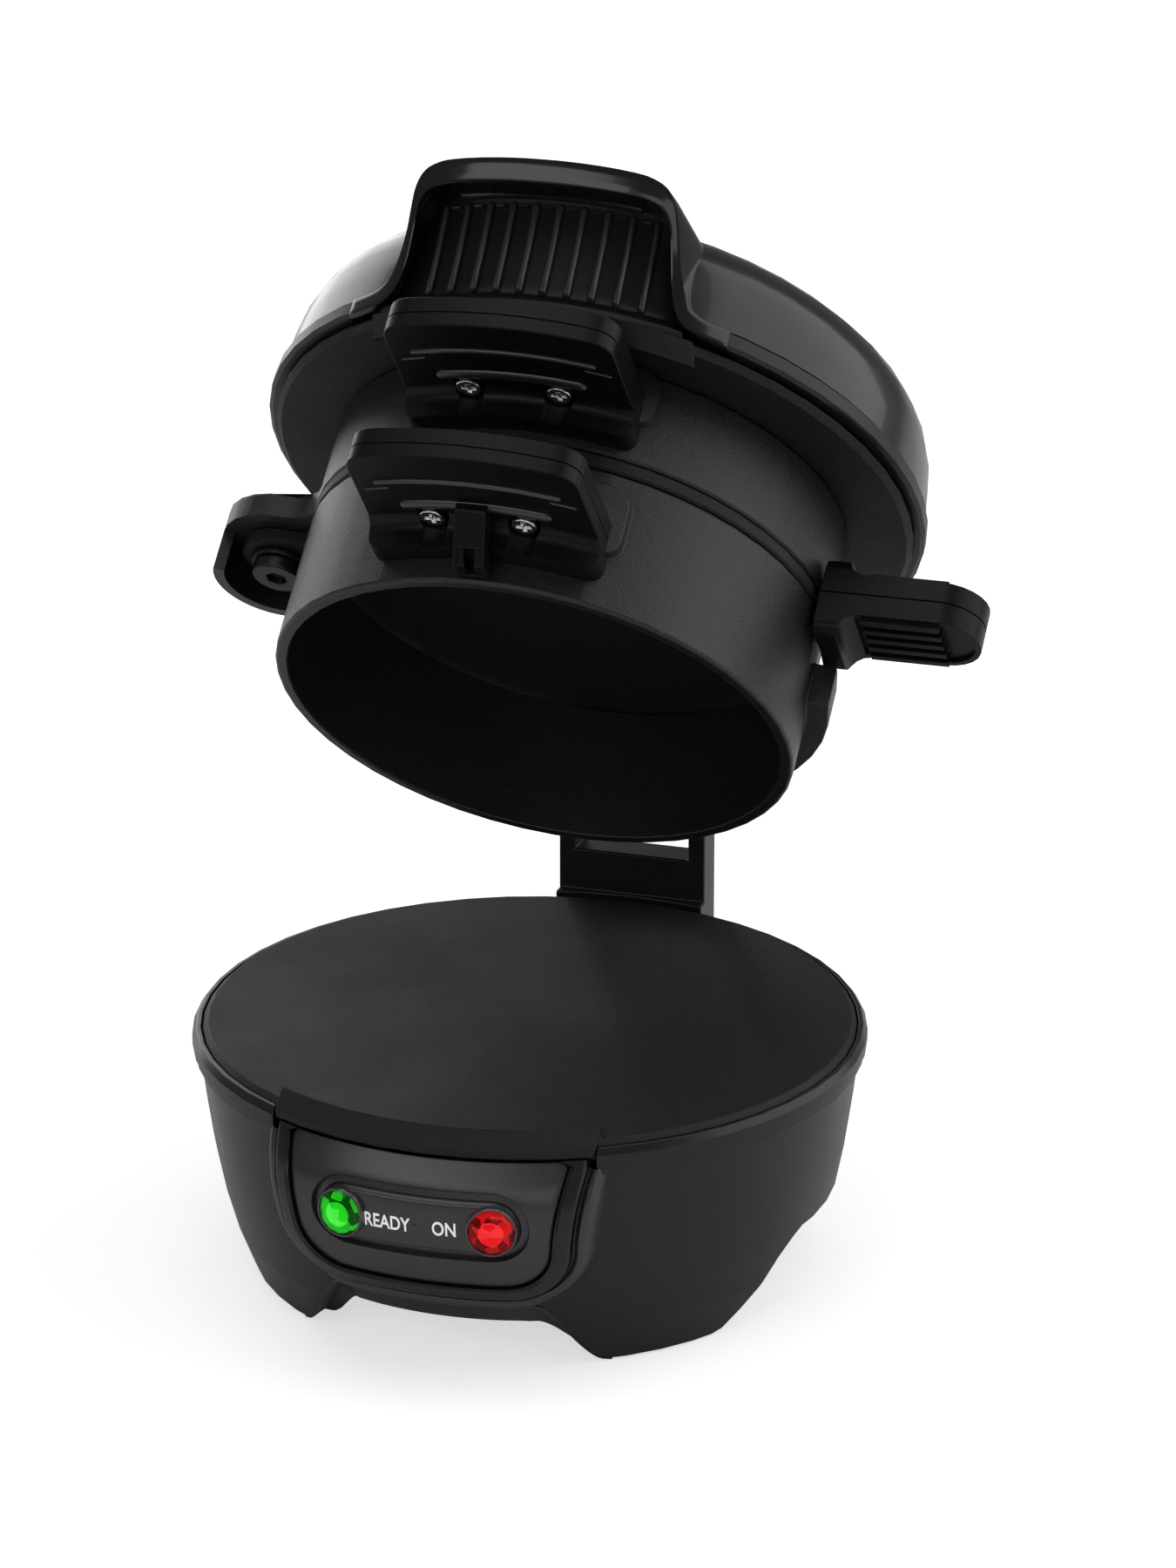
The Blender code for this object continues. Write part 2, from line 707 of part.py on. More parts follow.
def make_lower_plate():
    heating_plate("lower_heating_plate", None, PLATE_RADIUS, PLATE_THICKNESS, LIP_SKIRT)


def element_mesh(name, height):
    curve = bpy.data.curves.new(name, "CURVE")
    curve.dimensions = "3D"
    curve.bevel_depth = ELEMENT_WIRE
    curve.bevel_resolution = 1
    curve.use_fill_caps = True
    spline = curve.splines.new("POLY")
    spline.points.add(ELEMENT_POINTS)
    start = math.pi / 2 + (math.tau - ELEMENT_TURN) / 2
    places = arc((0, 0), ELEMENT_RADIUS, start, start + ELEMENT_TURN, ELEMENT_POINTS)
    for point, (across, deep) in zip(spline.points, places):
        point.co = (across, deep, height, 1)
    drawn = bpy.data.objects.new(name, curve)
    CUTTERS.objects.link(drawn)
    bpy.context.view_layer.update()
    mesh = bpy.data.meshes.new_from_object(drawn.evaluated_get(bpy.context.evaluated_depsgraph_get()))
    bpy.data.objects.remove(drawn)
    bpy.data.curves.remove(curve)
    edit = bmesh.new()
    edit.from_mesh(mesh)
    return finished(mesh, edit)


def make_lower_heater():
    under = -PLATE_THICKNESS - GAP
    name = "lower_heating_element"
    part(name, element_mesh(name, under - ELEMENT_WIRE), "heater sheath")
    can = rod("lower_thermostat", THERMOSTAT_RADIUS, under - THERMOSTAT_HEIGHT, under, steps=DISC_STEPS)
    part("lower_thermostat", can, "thermostat ceramic")


def cover_screw_places():
    for index in range(COVER_SCREW_COUNT):
        angle = math.pi / 2 + index * math.tau / COVER_SCREW_COUNT
        circle = BASE_TOP_RADIUS - COVER_SCREW_INSET
        yield circle * math.cos(angle), circle * math.sin(angle)


def make_bottom_cover():
    low = -COVER_DEPTH - COVER_THICKNESS
    radius = base_radius(COVER_DEPTH + COVER_THICKNESS) - WALL - GAP
    cover = part(
        "bottom_cover",
        rod("bottom_cover", radius, low, -COVER_DEPTH, steps=ROUND_STEPS),
        "satin black moulding",
    )
    for index, place in enumerate(cover_screw_places()):
        hole = "cover_hole_%d" % index
        shank = SCREW_SHANK_RADIUS + GAP
        cut(cover, cutter(hole, rod(hole, shank, low - OVERRUN, -COVER_DEPTH + OVERRUN, place)))
        name = "cover_screw_%d" % (index + 1)
        head_low = low - GAP - SCREW_HEAD
        head = rod(name, SCREW_HEAD_RADIUS, head_low, low - GAP, place)
        screw = part(name, head, "blackened steel")
        tip = -COVER_DEPTH + SCREW_SHANK
        stem = rod(name + "_stem", SCREW_SHANK_RADIUS, head_low + SCREW_HEAD / 2, tip, place)
        join(screw, cutter(name + "_stem", stem))


def make_cord_gland():
    outside = base_radius(GLAND_DEPTH - GLAND_RADIUS - GLAND_FLANGE)
    place = (0, -GLAND_DEPTH)
    length_from = outside - GLAND_LENGTH + GLAND_FLANGE
    gland = part(
        "cord_gland",
        rod("cord_gland", GLAND_RADIUS, length_from, outside + GLAND_FLANGE, place, "Y", DISC_STEPS),
        "black rubber",
    )
    flange_name = "gland_flange"
    flange = rod(
        flange_name,
        GLAND_RADIUS + GLAND_FLANGE,
        outside + GAP,
        outside + GAP + GLAND_FLANGE,
        place,
        "Y",
        DISC_STEPS,
    )
    join(gland, cutter(flange_name, flange))
    bore = rod("gland_bore", GLAND_BORE, length_from - OVERRUN, outside + OVERRUN, place, "Y")
    cut(gland, cutter("gland_bore", bore))


def panel_face(inset):
    """Points down the panel's face: it flares out of the trim ring and falls back to the housing."""
    top = LIP_SKIRT + GAP
    points = []
    for depth_share, reach_share in panel_face_shares:
        depth = top + (PANEL_BOTTOM_DEPTH - top) * depth_share
        radius = LIP_OUTER_RADIUS + (PANEL_REACH - LIP_OUTER_RADIUS) * reach_share
        points.append((radius - inset, -depth))
    return points


def panel_block(name, inset):
    """The panel's face turned round the base, over the housing's side."""
    face = panel_face(inset)
    back = [(PLATE_RADIUS + GAP, -LIP_SKIRT - GAP), (PLATE_RADIUS + GAP, -TRIM_BOTTOM_DEPTH)]
    back += base_side(TRIM_BOTTOM_DEPTH, PANEL_BOTTOM_DEPTH, GAP)
    return turned(name, face + back[::-1])


def panel_outline(inset):
    top = OVERRUN
    bottom = -PANEL_BOTTOM_DEPTH + inset - WELD_REACH
    wide = PANEL_TOP_HALF_WIDTH - inset
    middle = PANEL_MID_HALF_WIDTH - inset
    corner = PANEL_CORNER - inset
    half = -PANEL_BOTTOM_DEPTH / 2
    left = [(-wide, top), (-middle, half), (-middle, bottom)]
    right = [(middle, bottom), (middle, half), (wide, top)]
    return rounded(left + right, (0, 0, corner, corner, 0, 0))


def stadium(length, height, grow=0):
    radius = height / 2 + grow
    run = (length - height) / 2
    right = arc((run, -STADIUM_DEPTH), radius, -math.pi / 2, math.pi / 2, SMALL_STEPS // 2)
    left = arc((-run, -STADIUM_DEPTH), radius, math.pi / 2, 3 * math.pi / 2, SMALL_STEPS // 2)
    return right + left


def make_control_panel():
    front = -PANEL_REACH - OVERRUN
    back = -PLATE_RADIUS / 2
    frame = part("panel_frame", panel_block("panel_frame", 0), "satin black moulding")
    outer = cutter("panel_outer_outline", slab("panel_outer_outline", panel_outline(0), front, back, "Y"))
    hole = slab("panel_inner_outline", panel_outline(PANEL_FRAME_WIDTH - GAP), front, back, "Y")
    keep_inside(frame, outer)
    cut(frame, cutter("panel_inner_outline", hole))
    panel = part("control_panel", panel_block("control_panel", PANEL_RECESS), "satin black moulding")
    face = slab("panel_face_outline", panel_outline(PANEL_FRAME_WIDTH), front, back, "Y")
    keep_inside(panel, cutter("panel_face_outline", face))
    recess_profile = [(radius + OVERRUN, height) for radius, height in panel_face(0)]
    recess_profile += [(radius, height) for radius, height in reversed(panel_face(2 * PANEL_RECESS))]
    recess = cutter("panel_recess", turned("panel_recess", recess_profile))
    field = slab("panel_stadium", stadium(STADIUM_LENGTH, STADIUM_HEIGHT), front, back, "Y")
    keep_inside(recess, cutter("panel_stadium", field))
    cut(panel, recess)
    for name, side, finish in (("ready_light", -1, "green lens"), ("power_light", 1, "red lens")):
        make_light(name, side, finish, panel)


def make_light(name, side, finish, panel):
    across = side * LIGHT_SPREAD / 2
    face = math.sqrt(PANEL_REACH**2 - across**2)
    place = (across, -STADIUM_DEPTH)
    hole_name = name + "_hole"
    front = -PANEL_REACH - OVERRUN
    hole = rod(hole_name, LIGHT_RADIUS + GAP, front, -PLATE_RADIUS / 2, place, "Y", DISC_STEPS)
    cut(panel, cutter(hole_name, hole))
    dome = [(0, LIGHT_DOME)]
    for step in range(1, CORNER_STEPS + 1):
        angle = math.pi / 2 * step / CORNER_STEPS
        dome.append((LIGHT_RADIUS * math.sin(angle), LIGHT_DOME * math.cos(angle)))
    shell_face = math.sqrt(base_radius(STADIUM_DEPTH) ** 2 - (abs(across) - LIGHT_RADIUS) ** 2)
    depth = face - PANEL_RECESS - shell_face - 2 * GAP
    dome += [(LIGHT_RADIUS, -depth), (0, -depth)]
    lens = turned(name, dome, DISC_STEPS)
    lens.transform(Matrix.Translation((across, -face + PANEL_RECESS, -STADIUM_DEPTH)) @ AXES["Y"])
    part(name, lens, finish)


def hinge_arc(start, stop):
    return arc((HINGE_BEHIND, HINGE_ABOVE), KNUCKLE_RADIUS, start, stop, SMALL_STEPS // 2)


def arm_spans(order):
    """Spans across X of the hinge's leaves: lower ring in the middle, then upper ring, lid and base."""
    if order == 0:
        return [(-RING_ARM_HALF, RING_ARM_HALF)]
    low = RING_ARM_HALF + ARM_GAP + (order - 1) * (ARM_THICKNESS + ARM_GAP)
    return [(low, low + ARM_THICKNESS), (-low - ARM_THICKNESS, -low)]


def pin_hole(name, frame):
    reach = BRACKET_HALF + OVERRUN
    hole = rod(name, PIN_RADIUS + GAP, -reach, reach, (HINGE_BEHIND, HINGE_ABOVE), "X")
    return cutter(name, hole, frame)


def base_clearance():
    """Everything that the base holds, grown by the gap, to cut the bracket from."""
    profile = [(0, OVERRUN), (TRIM_RADIUS + GAP, OVERRUN), (TRIM_RADIUS + GAP, -TRIM_BOTTOM_DEPTH)]
    profile += base_side(TRIM_BOTTOM_DEPTH, BRACKET_BOTTOM_DEPTH + OVERRUN, GAP)
    profile += [(0, -BRACKET_BOTTOM_DEPTH - OVERRUN)]
    return cutter("base_clearance", turned("base_clearance", profile))


def make_hinge_bracket():
    corner = base_radius(BRACKET_BOTTOM_DEPTH) - WALL
    outline = [(corner, -BRACKET_BOTTOM_DEPTH), (BRACKET_REAR - PAD_CORNER, -BRACKET_BOTTOM_DEPTH)]
    outline += [(BRACKET_REAR, -BRACKET_BOTTOM_DEPTH + PAD_CORNER * 2), (BRACKET_REAR, HINGE_ABOVE / 2)]
    outline += hinge_arc(0, math.pi)
    outline += [(BRACKET_FRONT, HINGE_ABOVE / 2), (BRACKET_FRONT, 0), (corner, 0)]
    solid = slab("hinge_bracket", outline, -BRACKET_HALF, BRACKET_HALF, "X")
    bracket = part("hinge_bracket", solid, "satin black moulding")
    inner = BRACKET_HALF - ARM_THICKNESS
    slot = block(
        "bracket_slot",
        (-inner, BASE_TOP_RADIUS - OVERRUN, BRACKET_TOP),
        (inner, BRACKET_REAR + OVERRUN, HINGE_ABOVE + KNUCKLE_RADIUS + OVERRUN),
    )
    cut(bracket, base_clearance(), cutter("bracket_slot", slot), pin_hole("bracket_pin_hole", None))


def make_hinge_pin():
    axis = (HINGE_BEHIND, HINGE_ABOVE)
    reach = BRACKET_HALF + GAP
    stem = rod("hinge_pin", PIN_RADIUS, -reach - PIN_HEAD / 2, reach + PIN_HEAD / 2, axis, "X")
    pin = part("hinge_pin", stem, "bare steel")
    for name, side in (("pin_head_right", 1), ("pin_head_left", -1)):
        ends = sorted((side * reach, side * (reach + PIN_HEAD)))
        join(pin, cutter(name, rod(name, PIN_HEAD_RADIUS, ends[0], ends[1], axis, "X")))


def ring_profile(low, high):
    inner = RING_RADIUS - RING_WALL
    return [
        (RING_RADIUS - RING_CHAMFER, high),
        (RING_RADIUS, high - RING_CHAMFER),
        (RING_RADIUS, low + RING_CHAMFER),
        (RING_RADIUS - RING_CHAMFER, low),
        (inner, low),
        (inner, high),
    ]


def ring_pad(name, low, high, frame):
    """A raised pad on the ring's wall, which carries the tab."""
    skin = turned(
        name,
        [
            (RING_RADIUS + PAD_REACH, high),
            (RING_RADIUS + PAD_REACH, low),
            (RING_RADIUS - SINK, low),
            (RING_RADIUS - SINK, high),
        ],
    )
    pad = cutter(name, skin, frame)
    wide = PAD_HALF_WIDTH
    corners = [(-wide, low), (wide, low), (wide, high), (-wide, high)]
    outline = rounded(corners, (PAD_CORNER,) * len(corners))
    window = slab(name + "_outline", outline, -RING_RADIUS - OVERRUN, -RING_RADIUS / 2, "Y")
    return keep_inside(pad, cutter(name + "_outline", window, frame))


def yoke(name, low, high, half_angle, reach, frame):
    """A band round the back of a ring."""
    inside = RING_RADIUS - SINK
    outside = RING_RADIUS + reach
    profile = [(outside, high - RING_CHAMFER), (outside, low), (inside, low), (inside, high)]
    profile += [(outside - RING_CHAMFER, high)]
    band = cutter(name, turned(name, profile), frame)
    title = name + "_span"
    span = wedge(title, half_angle, outside * 2, low - OVERRUN, high + OVERRUN, math.pi / 2)
    return keep_inside(band, cutter(title, span, frame))


def make_lower_ring(frame):
    high = EGG_LOW - GAP
    wall_mesh = turned("lower_ring", ring_profile(RING_SEAT, high))
    ring = part("lower_ring", wall_mesh, "satin black moulding", frame)
    join(ring, ring_pad("lower_ring_pad", PAD_LOW, PAD_HIGH, frame))
    yoke_high = PIVOT.z - SHIELD_BELOW - ARM_GAP
    join(ring, yoke("lower_yoke", LOWER_YOKE_LOW, yoke_high, LOWER_YOKE_HALF_ANGLE, YOKE_REACH, frame))
    wall = RING_RADIUS - RING_WALL / 2
    outline = [(wall, high - KNUCKLE_RADIUS), (wall, PAD_LOW - PAD_CORNER)]
    outline += hinge_arc(-math.pi / 4, math.pi * 3 / 4)
    name = "lower_ring_arm"
    arm = slab(name, outline, -RING_ARM_HALF, RING_ARM_HALF, "X")
    join(ring, cutter(name, arm, frame))
    cut(ring, pin_hole("lower_ring_pin_hole", frame), ring_bore("lower_ring_bore", frame))


def ring_bore(name, frame):
    bore = rod(name, RING_RADIUS - RING_WALL, -OVERRUN, LID_PLATE_LOW + OVERRUN, steps=ROUND_STEPS)
    return cutter(name, bore, frame)


def make_upper_ring(frame):
    low = EGG_HIGH + GAP
    wall_mesh = turned("upper_ring", ring_profile(low, UPPER_RING_TOP))
    ring = part("upper_ring", wall_mesh, "satin black moulding", frame)
    pad_top = min(PAD_HIGH + TAB_RAISE, UPPER_RING_TOP - RING_CHAMFER)
    join(ring, ring_pad("upper_ring_pad", PAD_LOW + TAB_RAISE, pad_top, frame))
    yoke_low = low + UPPER_YOKE_LOW
    yoke_high = low + UPPER_YOKE_HIGH
    join(ring, yoke("upper_yoke", yoke_low, yoke_high, UPPER_YOKE_HALF_ANGLE, YOKE_REACH, frame))
    wall = RING_RADIUS - RING_WALL / 2
    outline = [(wall, UPPER_RING_TOP - KNUCKLE_RADIUS), (wall, low + RING_CHAMFER * 2)]
    outline += [(RING_RADIUS + RING_WALL, low + RING_CHAMFER * 2)]
    outline += hinge_arc(-math.pi * 3 / 4, math.pi / 4)
    for index, (start, stop) in enumerate(arm_spans(1)):
        name = "upper_ring_arm_%d" % index
        join(ring, cutter(name, slab(name, outline, start, stop, "X"), frame))
    join(ring, pivot_roof(low, frame), pivot_skirt(low, frame))
    hole_top = low + ROOF_THICKNESS - PIN_HEAD
    hole = rod("pivot_bolt_hole", BOLT_RADIUS + GAP, low - OVERRUN, hole_top, (PIVOT.x, PIVOT.y))
    cut(ring, pin_hole("upper_ring_pin_hole", frame), cutter("pivot_bolt_hole", hole, frame))
    cut(ring, ring_bore("upper_ring_bore", frame))


def lobe(radius, root, steps=SMALL_STEPS):
    """A round lobe about the egg plate's pivot, which runs into the ring on two concave roots."""
    reach = PIVOT_OUT
    across = ((radius + root) ** 2 - (RING_RADIUS + root) ** 2 - reach**2) / (2 * reach)
    along = math.sqrt((RING_RADIUS + root) ** 2 - across**2)
    from_ring = math.atan2(-along, -across)
    to_lobe = math.atan2(-along, -reach - across)
    rear = arc((across, along), root, from_ring, to_lobe, CORNER_STEPS)
    lobe_start = to_lobe + math.pi
    rim = arc((-reach, 0), radius, lobe_start, math.tau - lobe_start, steps)
    front = [(out, -side) for out, side in reversed(rear)]
    share = (RING_RADIUS - RING_WALL / 2) / RING_RADIUS
    inner = (rear[0][0] * share, rear[0][1] * share)
    return [inner] + rear + rim[1:-1] + front + [(inner[0], -inner[1])]


def pivot_roof(low, frame):
    mesh = slab("pivot_roof", lobe(ROOF_RADIUS, ROOF_ROOT), low, low + ROOF_THICKNESS)
    top = low + ROOF_THICKNESS - WELD_REACH
    soften(mesh, TAB_EDGE, lambda point: point.z > top and point.x < -RING_RADIUS)
    return cutter("pivot_roof", mesh, frame)


def pivot_skirt(low, frame):
    centre = (PIVOT.x, PIVOT.y)
    outer = arc(centre, ROOF_RADIUS, SKIRT_FROM, SKIRT_TO, SMALL_STEPS)
    inner = arc(centre, ROOF_RADIUS - WALL, SKIRT_TO, SKIRT_FROM, SMALL_STEPS)
    return cutter("pivot_skirt", slab("pivot_skirt", outer + inner, SKIRT_LOW, low + SINK), frame)


def tab_outline(grow=0):
    """The tab seen from above: straight sides and a front edge that follows the rings."""
    wide = TAB_HALF_WIDTH + grow
    lean = math.asin(wide / TAB_REACH)
    front = arc((0, 0), TAB_REACH, -math.pi / 2 - lean, -math.pi / 2 + lean, CORNER_STEPS * 2)
    back = -RING_RADIUS / 2
    corners = [(-wide, back)] + front + [(wide, back)]
    radii = [0, TAB_CORNER] + [0] * (len(front) - 2) + [TAB_CORNER, 0]
    return rounded(corners, radii)


def tab_clearance(name, raise_by, frame):
    """The ring's wall and pad, grown by the gap."""
    profile = [
        (0, PAD_HIGH + OVERRUN + raise_by),
        (RING_RADIUS + PAD_REACH + GAP, PAD_HIGH + OVERRUN + raise_by),
        (RING_RADIUS + PAD_REACH + GAP, PAD_LOW - GAP + raise_by),
        (RING_RADIUS + GAP, PAD_LOW - GAP + raise_by),
        (RING_RADIUS + GAP, -OVERRUN + raise_by),
        (0, -OVERRUN + raise_by),
    ]
    return cutter(name, turned(name, profile), frame)


def make_tab(prefix, raise_by, frame):
    """A two-part tab under two screws, on a pad of the ring."""
    clearance = tab_clearance(prefix + "_tab_clearance", raise_by, frame)
    seam = TAB_SEAM + raise_by
    top = TAB_TOP + raise_by
    upper = slab(prefix + "_tab_top", tab_outline(), seam + GAP / 2, top)
    soften(upper, TAB_EDGE, lambda point: point.z > top - WELD_REACH)
    cut(part(prefix + "_tab_top", upper, "satin black moulding", frame), clearance)
    low = TAB_LOW + raise_by
    lower = slab(prefix + "_tab_underside", tab_outline(), low, seam - GAP / 2)
    soften(lower, TAB_CHAMFER, lambda point: point.z < low + WELD_REACH, 1)
    under = part(prefix + "_tab_underside", lower, "satin black moulding", frame)
    flange_outer = RING_RADIUS + PAD_REACH + TAB_FLANGE_THICKNESS
    flange_name = prefix + "_tab_flange"
    foot = TAB_FLANGE_LOW + raise_by
    root = (flange_outer + TAB_ROOT, low - TAB_ROOT)
    profile = [(RING_RADIUS, foot), (RING_RADIUS, low + SINK), (root[0], low + SINK)]
    profile += arc(root, TAB_ROOT, math.pi / 2, math.pi, CORNER_STEPS) + [(flange_outer, foot)]
    flange = cutter(flange_name, turned(flange_name, profile), frame)
    wide = TAB_HALF_WIDTH
    corners = [(-wide, foot), (wide, foot), (wide, top), (-wide, top)]
    window = rounded(corners, (TAB_FLANGE_THICKNESS, TAB_FLANGE_THICKNESS, 0, 0))
    span = slab(flange_name + "_span", window, -TAB_REACH, -RING_RADIUS / 2, "Y")
    keep_inside(flange, cutter(flange_name + "_span", span, frame))
    join(under, flange)
    front_bar = tab_bar(prefix + "_tab_front_bar", TAB_FRONT_BAR_LENGTH, TAB_FRONT_BAR_INSET, low, frame)
    rear_bar = tab_bar(prefix + "_tab_rear_bar", TAB_REAR_BAR_LENGTH, TAB_REAR_BAR_INSET, low, frame)
    join(under, front_bar, rear_bar)
    cut(under, clearance)
    for name, side in (("left", -1), ("right", 1)):
        make_tab_screw(prefix + "_tab_screw_" + name, side, raise_by, under, frame)
    return under


def tab_bar(name, length, inset, low, frame):
    """A raised bar along an arc on the underside of a tab, set back from its front edge."""
    radius = TAB_REACH - inset
    lean = length / radius / 2
    left = -math.pi / 2 - lean
    right = -math.pi / 2 + lean
    outer = arc((0, 0), radius + TAB_BAR_WIDTH / 2, left, right, CORNER_STEPS * 2)
    inner = arc((0, 0), radius - TAB_BAR_WIDTH / 2, right, left, CORNER_STEPS * 2)
    return cutter(name, slab(name, outer + inner, low - TAB_BAR_PROUD, low + SINK), frame)


def make_tab_screw(name, side, raise_by, under, frame):
    place = (side * SCREW_SPREAD / 2, -SCREW_OUT)
    seat = TAB_LOW + raise_by + SINK
    bore = rod(name + "_bore", COUNTERBORE_RADIUS, TAB_FLANGE_LOW - OVERRUN + raise_by, seat, place)
    over = TAB_SEAM + OVERRUN + raise_by
    hole = rod(name + "_hole", SCREW_SHANK_RADIUS + GAP, seat - OVERRUN, over, place)
    cut(under, cutter(name + "_bore", bore, frame), cutter(name + "_hole", hole, frame))
    head_top = seat - GAP
    shank_top = TAB_SEAM + raise_by - GAP
    head = rod(name, SCREW_HEAD_RADIUS, head_top - SCREW_HEAD, head_top, place)
    screw = part(name, head, "bare steel", frame)
    stem = rod(name + "_stem", SCREW_SHANK_RADIUS, head_top - SCREW_HEAD / 2, shank_top, place)
    join(screw, cutter(name + "_stem", stem, frame))
    face = head_top - SCREW_HEAD
    for slot, (along, across) in enumerate(((CROSS_LENGTH, CROSS_WIDTH), (CROSS_WIDTH, CROSS_LENGTH))):
        title = "%s_cross_%d" % (name, slot)
        low = (place[0] - along / 2, place[1] - across / 2, face - OVERRUN)
        high = (place[0] + along / 2, place[1] + across / 2, face + CROSS_DEPTH)
        cut(screw, cutter(title, block(title, low, high), frame))


def make_clip(frame, under):
    """The locating clip under the lower tab: a hood with a channel open to the front and below."""
    root = RING_RADIUS + GAP
    top = TAB_LOW - GAP
    flange = root + PAD_REACH + TAB_FLANGE_THICKNESS + GAP
    outline = [
        (-root, CLIP_LOW),
        (-root, TAB_FLANGE_LOW - GAP),
        (-flange, TAB_FLANGE_LOW - GAP),
        (-flange, TAB_LOW - TAB_EDGE * 2 - GAP),
        (-flange - TAB_FLANGE_THICKNESS, top),
        (-CLIP_OUT, top),
        (-CLIP_OUT, top - CLIP_CHANNEL),
        (-flange, CLIP_LOW),
    ]
    solid = slab("ring_clip", outline, -CLIP_HALF_WIDTH, CLIP_HALF_WIDTH, "X")
    clip = part("ring_clip", solid, "satin black moulding", frame)
    wall = CLIP_HALF_WIDTH - CLIP_CHANNEL / 2
    channel = block(
        "clip_channel",
        (-wall, -CLIP_OUT - OVERRUN, CLIP_LOW - OVERRUN),
        (wall, -root - CLIP_CHANNEL, TAB_FLANGE_LOW - GAP - CLIP_CHANNEL),
    )
    cut(clip, cutter("clip_channel", channel, frame))


def make_egg_plate(frame):
    rim = RING_RADIUS - EGG_RIM
    profile = [
        (0, EGG_HIGH - EGG_DISH_DEPTH),
        (rim, EGG_HIGH - EGG_DISH_DEPTH),
        (rim + EGG_DISH_DEPTH, EGG_HIGH),
        (RING_RADIUS - RING_CHAMFER, EGG_HIGH),
        (RING_RADIUS, EGG_HIGH - RING_CHAMFER),
        (RING_RADIUS, EGG_LOW + RING_CHAMFER),
        (RING_RADIUS - RING_CHAMFER, EGG_LOW),
        (0, EGG_LOW),
    ]
    plate = part("egg_plate", turned("egg_plate", profile), "non-stick coating", frame)
    low = EGG_LOW
    ear = slab("egg_plate_ear", lobe(EAR_RADIUS, EAR_ROOT), low, EGG_HIGH)
    join(plate, cutter("egg_plate_ear", ear, frame))
    tang = block("egg_plate_tang", *tang_box(0))
    join(plate, cutter("egg_plate_tang", tang, frame))
    hole = rod("egg_plate_hole", BOLT_RADIUS + GAP, low - OVERRUN, EGG_HIGH + OVERRUN, (PIVOT.x, PIVOT.y))
    cut(plate, cutter("egg_plate_hole", hole, frame))


def tang_box(grow):
    """The tongue that carries the plate's handle, or with a grow, its pocket."""
    low = Vector((RING_RADIUS - EGG_RIM / 2, -TANG_HALF_WIDTH - grow, PIVOT.z - TANG_THICKNESS / 2 - grow))
    high = Vector((TANG_REACH + grow, TANG_HALF_WIDTH + grow, PIVOT.z + TANG_THICKNESS / 2 + grow))
    return low, high


def make_pivot(frame):
    washer_top = EGG_LOW - GAP
    place = (PIVOT.x, PIVOT.y)
    washer_low = washer_top - WASHER_THICKNESS
    washer = rod("pivot_washer", WASHER_RADIUS, washer_low, washer_top, place, steps=DISC_STEPS)
    washer = part("pivot_washer", washer, "blackened steel", frame)
    hole = rod("pivot_washer_hole", BOLT_RADIUS + GAP, SKIRT_LOW, EGG_HIGH, place)
    cut(washer, cutter("pivot_washer_hole", hole, frame))
    head_top = washer_top - WASHER_THICKNESS - GAP
    bolt = rod("plate_pivot_bolt", BOLT_HEAD_RADIUS, head_top - BOLT_HEAD, head_top, place, steps=DISC_STEPS)
    low = head_top - BOLT_HEAD + WELD_REACH
    soften(bolt, TRIM_STEP, lambda point: point.z < low)
    bolt = part("plate_pivot_bolt", bolt, "blackened steel", frame)
    shank_top = EGG_HIGH + ROOF_THICKNESS - PIN_HEAD
    stem = rod("pivot_bolt_stem", BOLT_RADIUS, head_top - BOLT_HEAD / 2, shank_top, place)
    join(bolt, cutter("pivot_bolt_stem", stem, frame))
    socket_high = head_top - BOLT_HEAD + BOLT_SOCKET_DEPTH
    socket_low = head_top - BOLT_HEAD - OVERRUN
    socket = rod("pivot_bolt_socket", BOLT_SOCKET_RADIUS, socket_low, socket_high, place, steps=6)
    cut(bolt, cutter("pivot_bolt_socket", socket, frame))


def grip_outline():
    """The plate's handle from above: straight sides and a round tip."""
    start = SHIELD_INNER - OVERRUN
    centre = (GRIP_REACH - GRIP_HALF_WIDTH, GRIP_ASIDE)
    tip = arc(centre, GRIP_HALF_WIDTH, -math.pi / 2, math.pi / 2, SMALL_STEPS)
    return [(start, tip[0][1])] + tip + [(start, tip[-1][1])]


def grip_end_view(seam, shield_end):
    """One half of the handle along its length, as (y, z): its root flange has two rounded corners."""
    near = GRIP_ASIDE - GRIP_HALF_WIDTH + GRIP_FLAT
    far = GRIP_ASIDE + GRIP_HALF_WIDTH - GRIP_FLAT
    corners = [(near, seam), (near, shield_end), (far, shield_end), (far, seam)]
    return rounded(corners, (0, SHIELD_CORNER, SHIELD_CORNER, 0))


def grip_side(seam, face, shield_end):
    """One half of the handle from the side, as (x, z): from its seam out to its ribbed face and its root."""
    wall = SHIELD_INNER + SHIELD_THICKNESS
    side = math.copysign(1, face - seam)
    radius = min(SHIELD_ROOT, abs(shield_end - face) - GAP)
    centre = (wall + radius, face + side * radius)
    fillet = arc(centre, radius, math.pi, math.pi + side * math.pi / 2, CORNER_STEPS)
    start = SHIELD_INNER - OVERRUN
    end = GRIP_REACH + OVERRUN
    return [(start, seam), (start, shield_end), (wall, shield_end)] + fillet + [(end, face), (end, seam)]


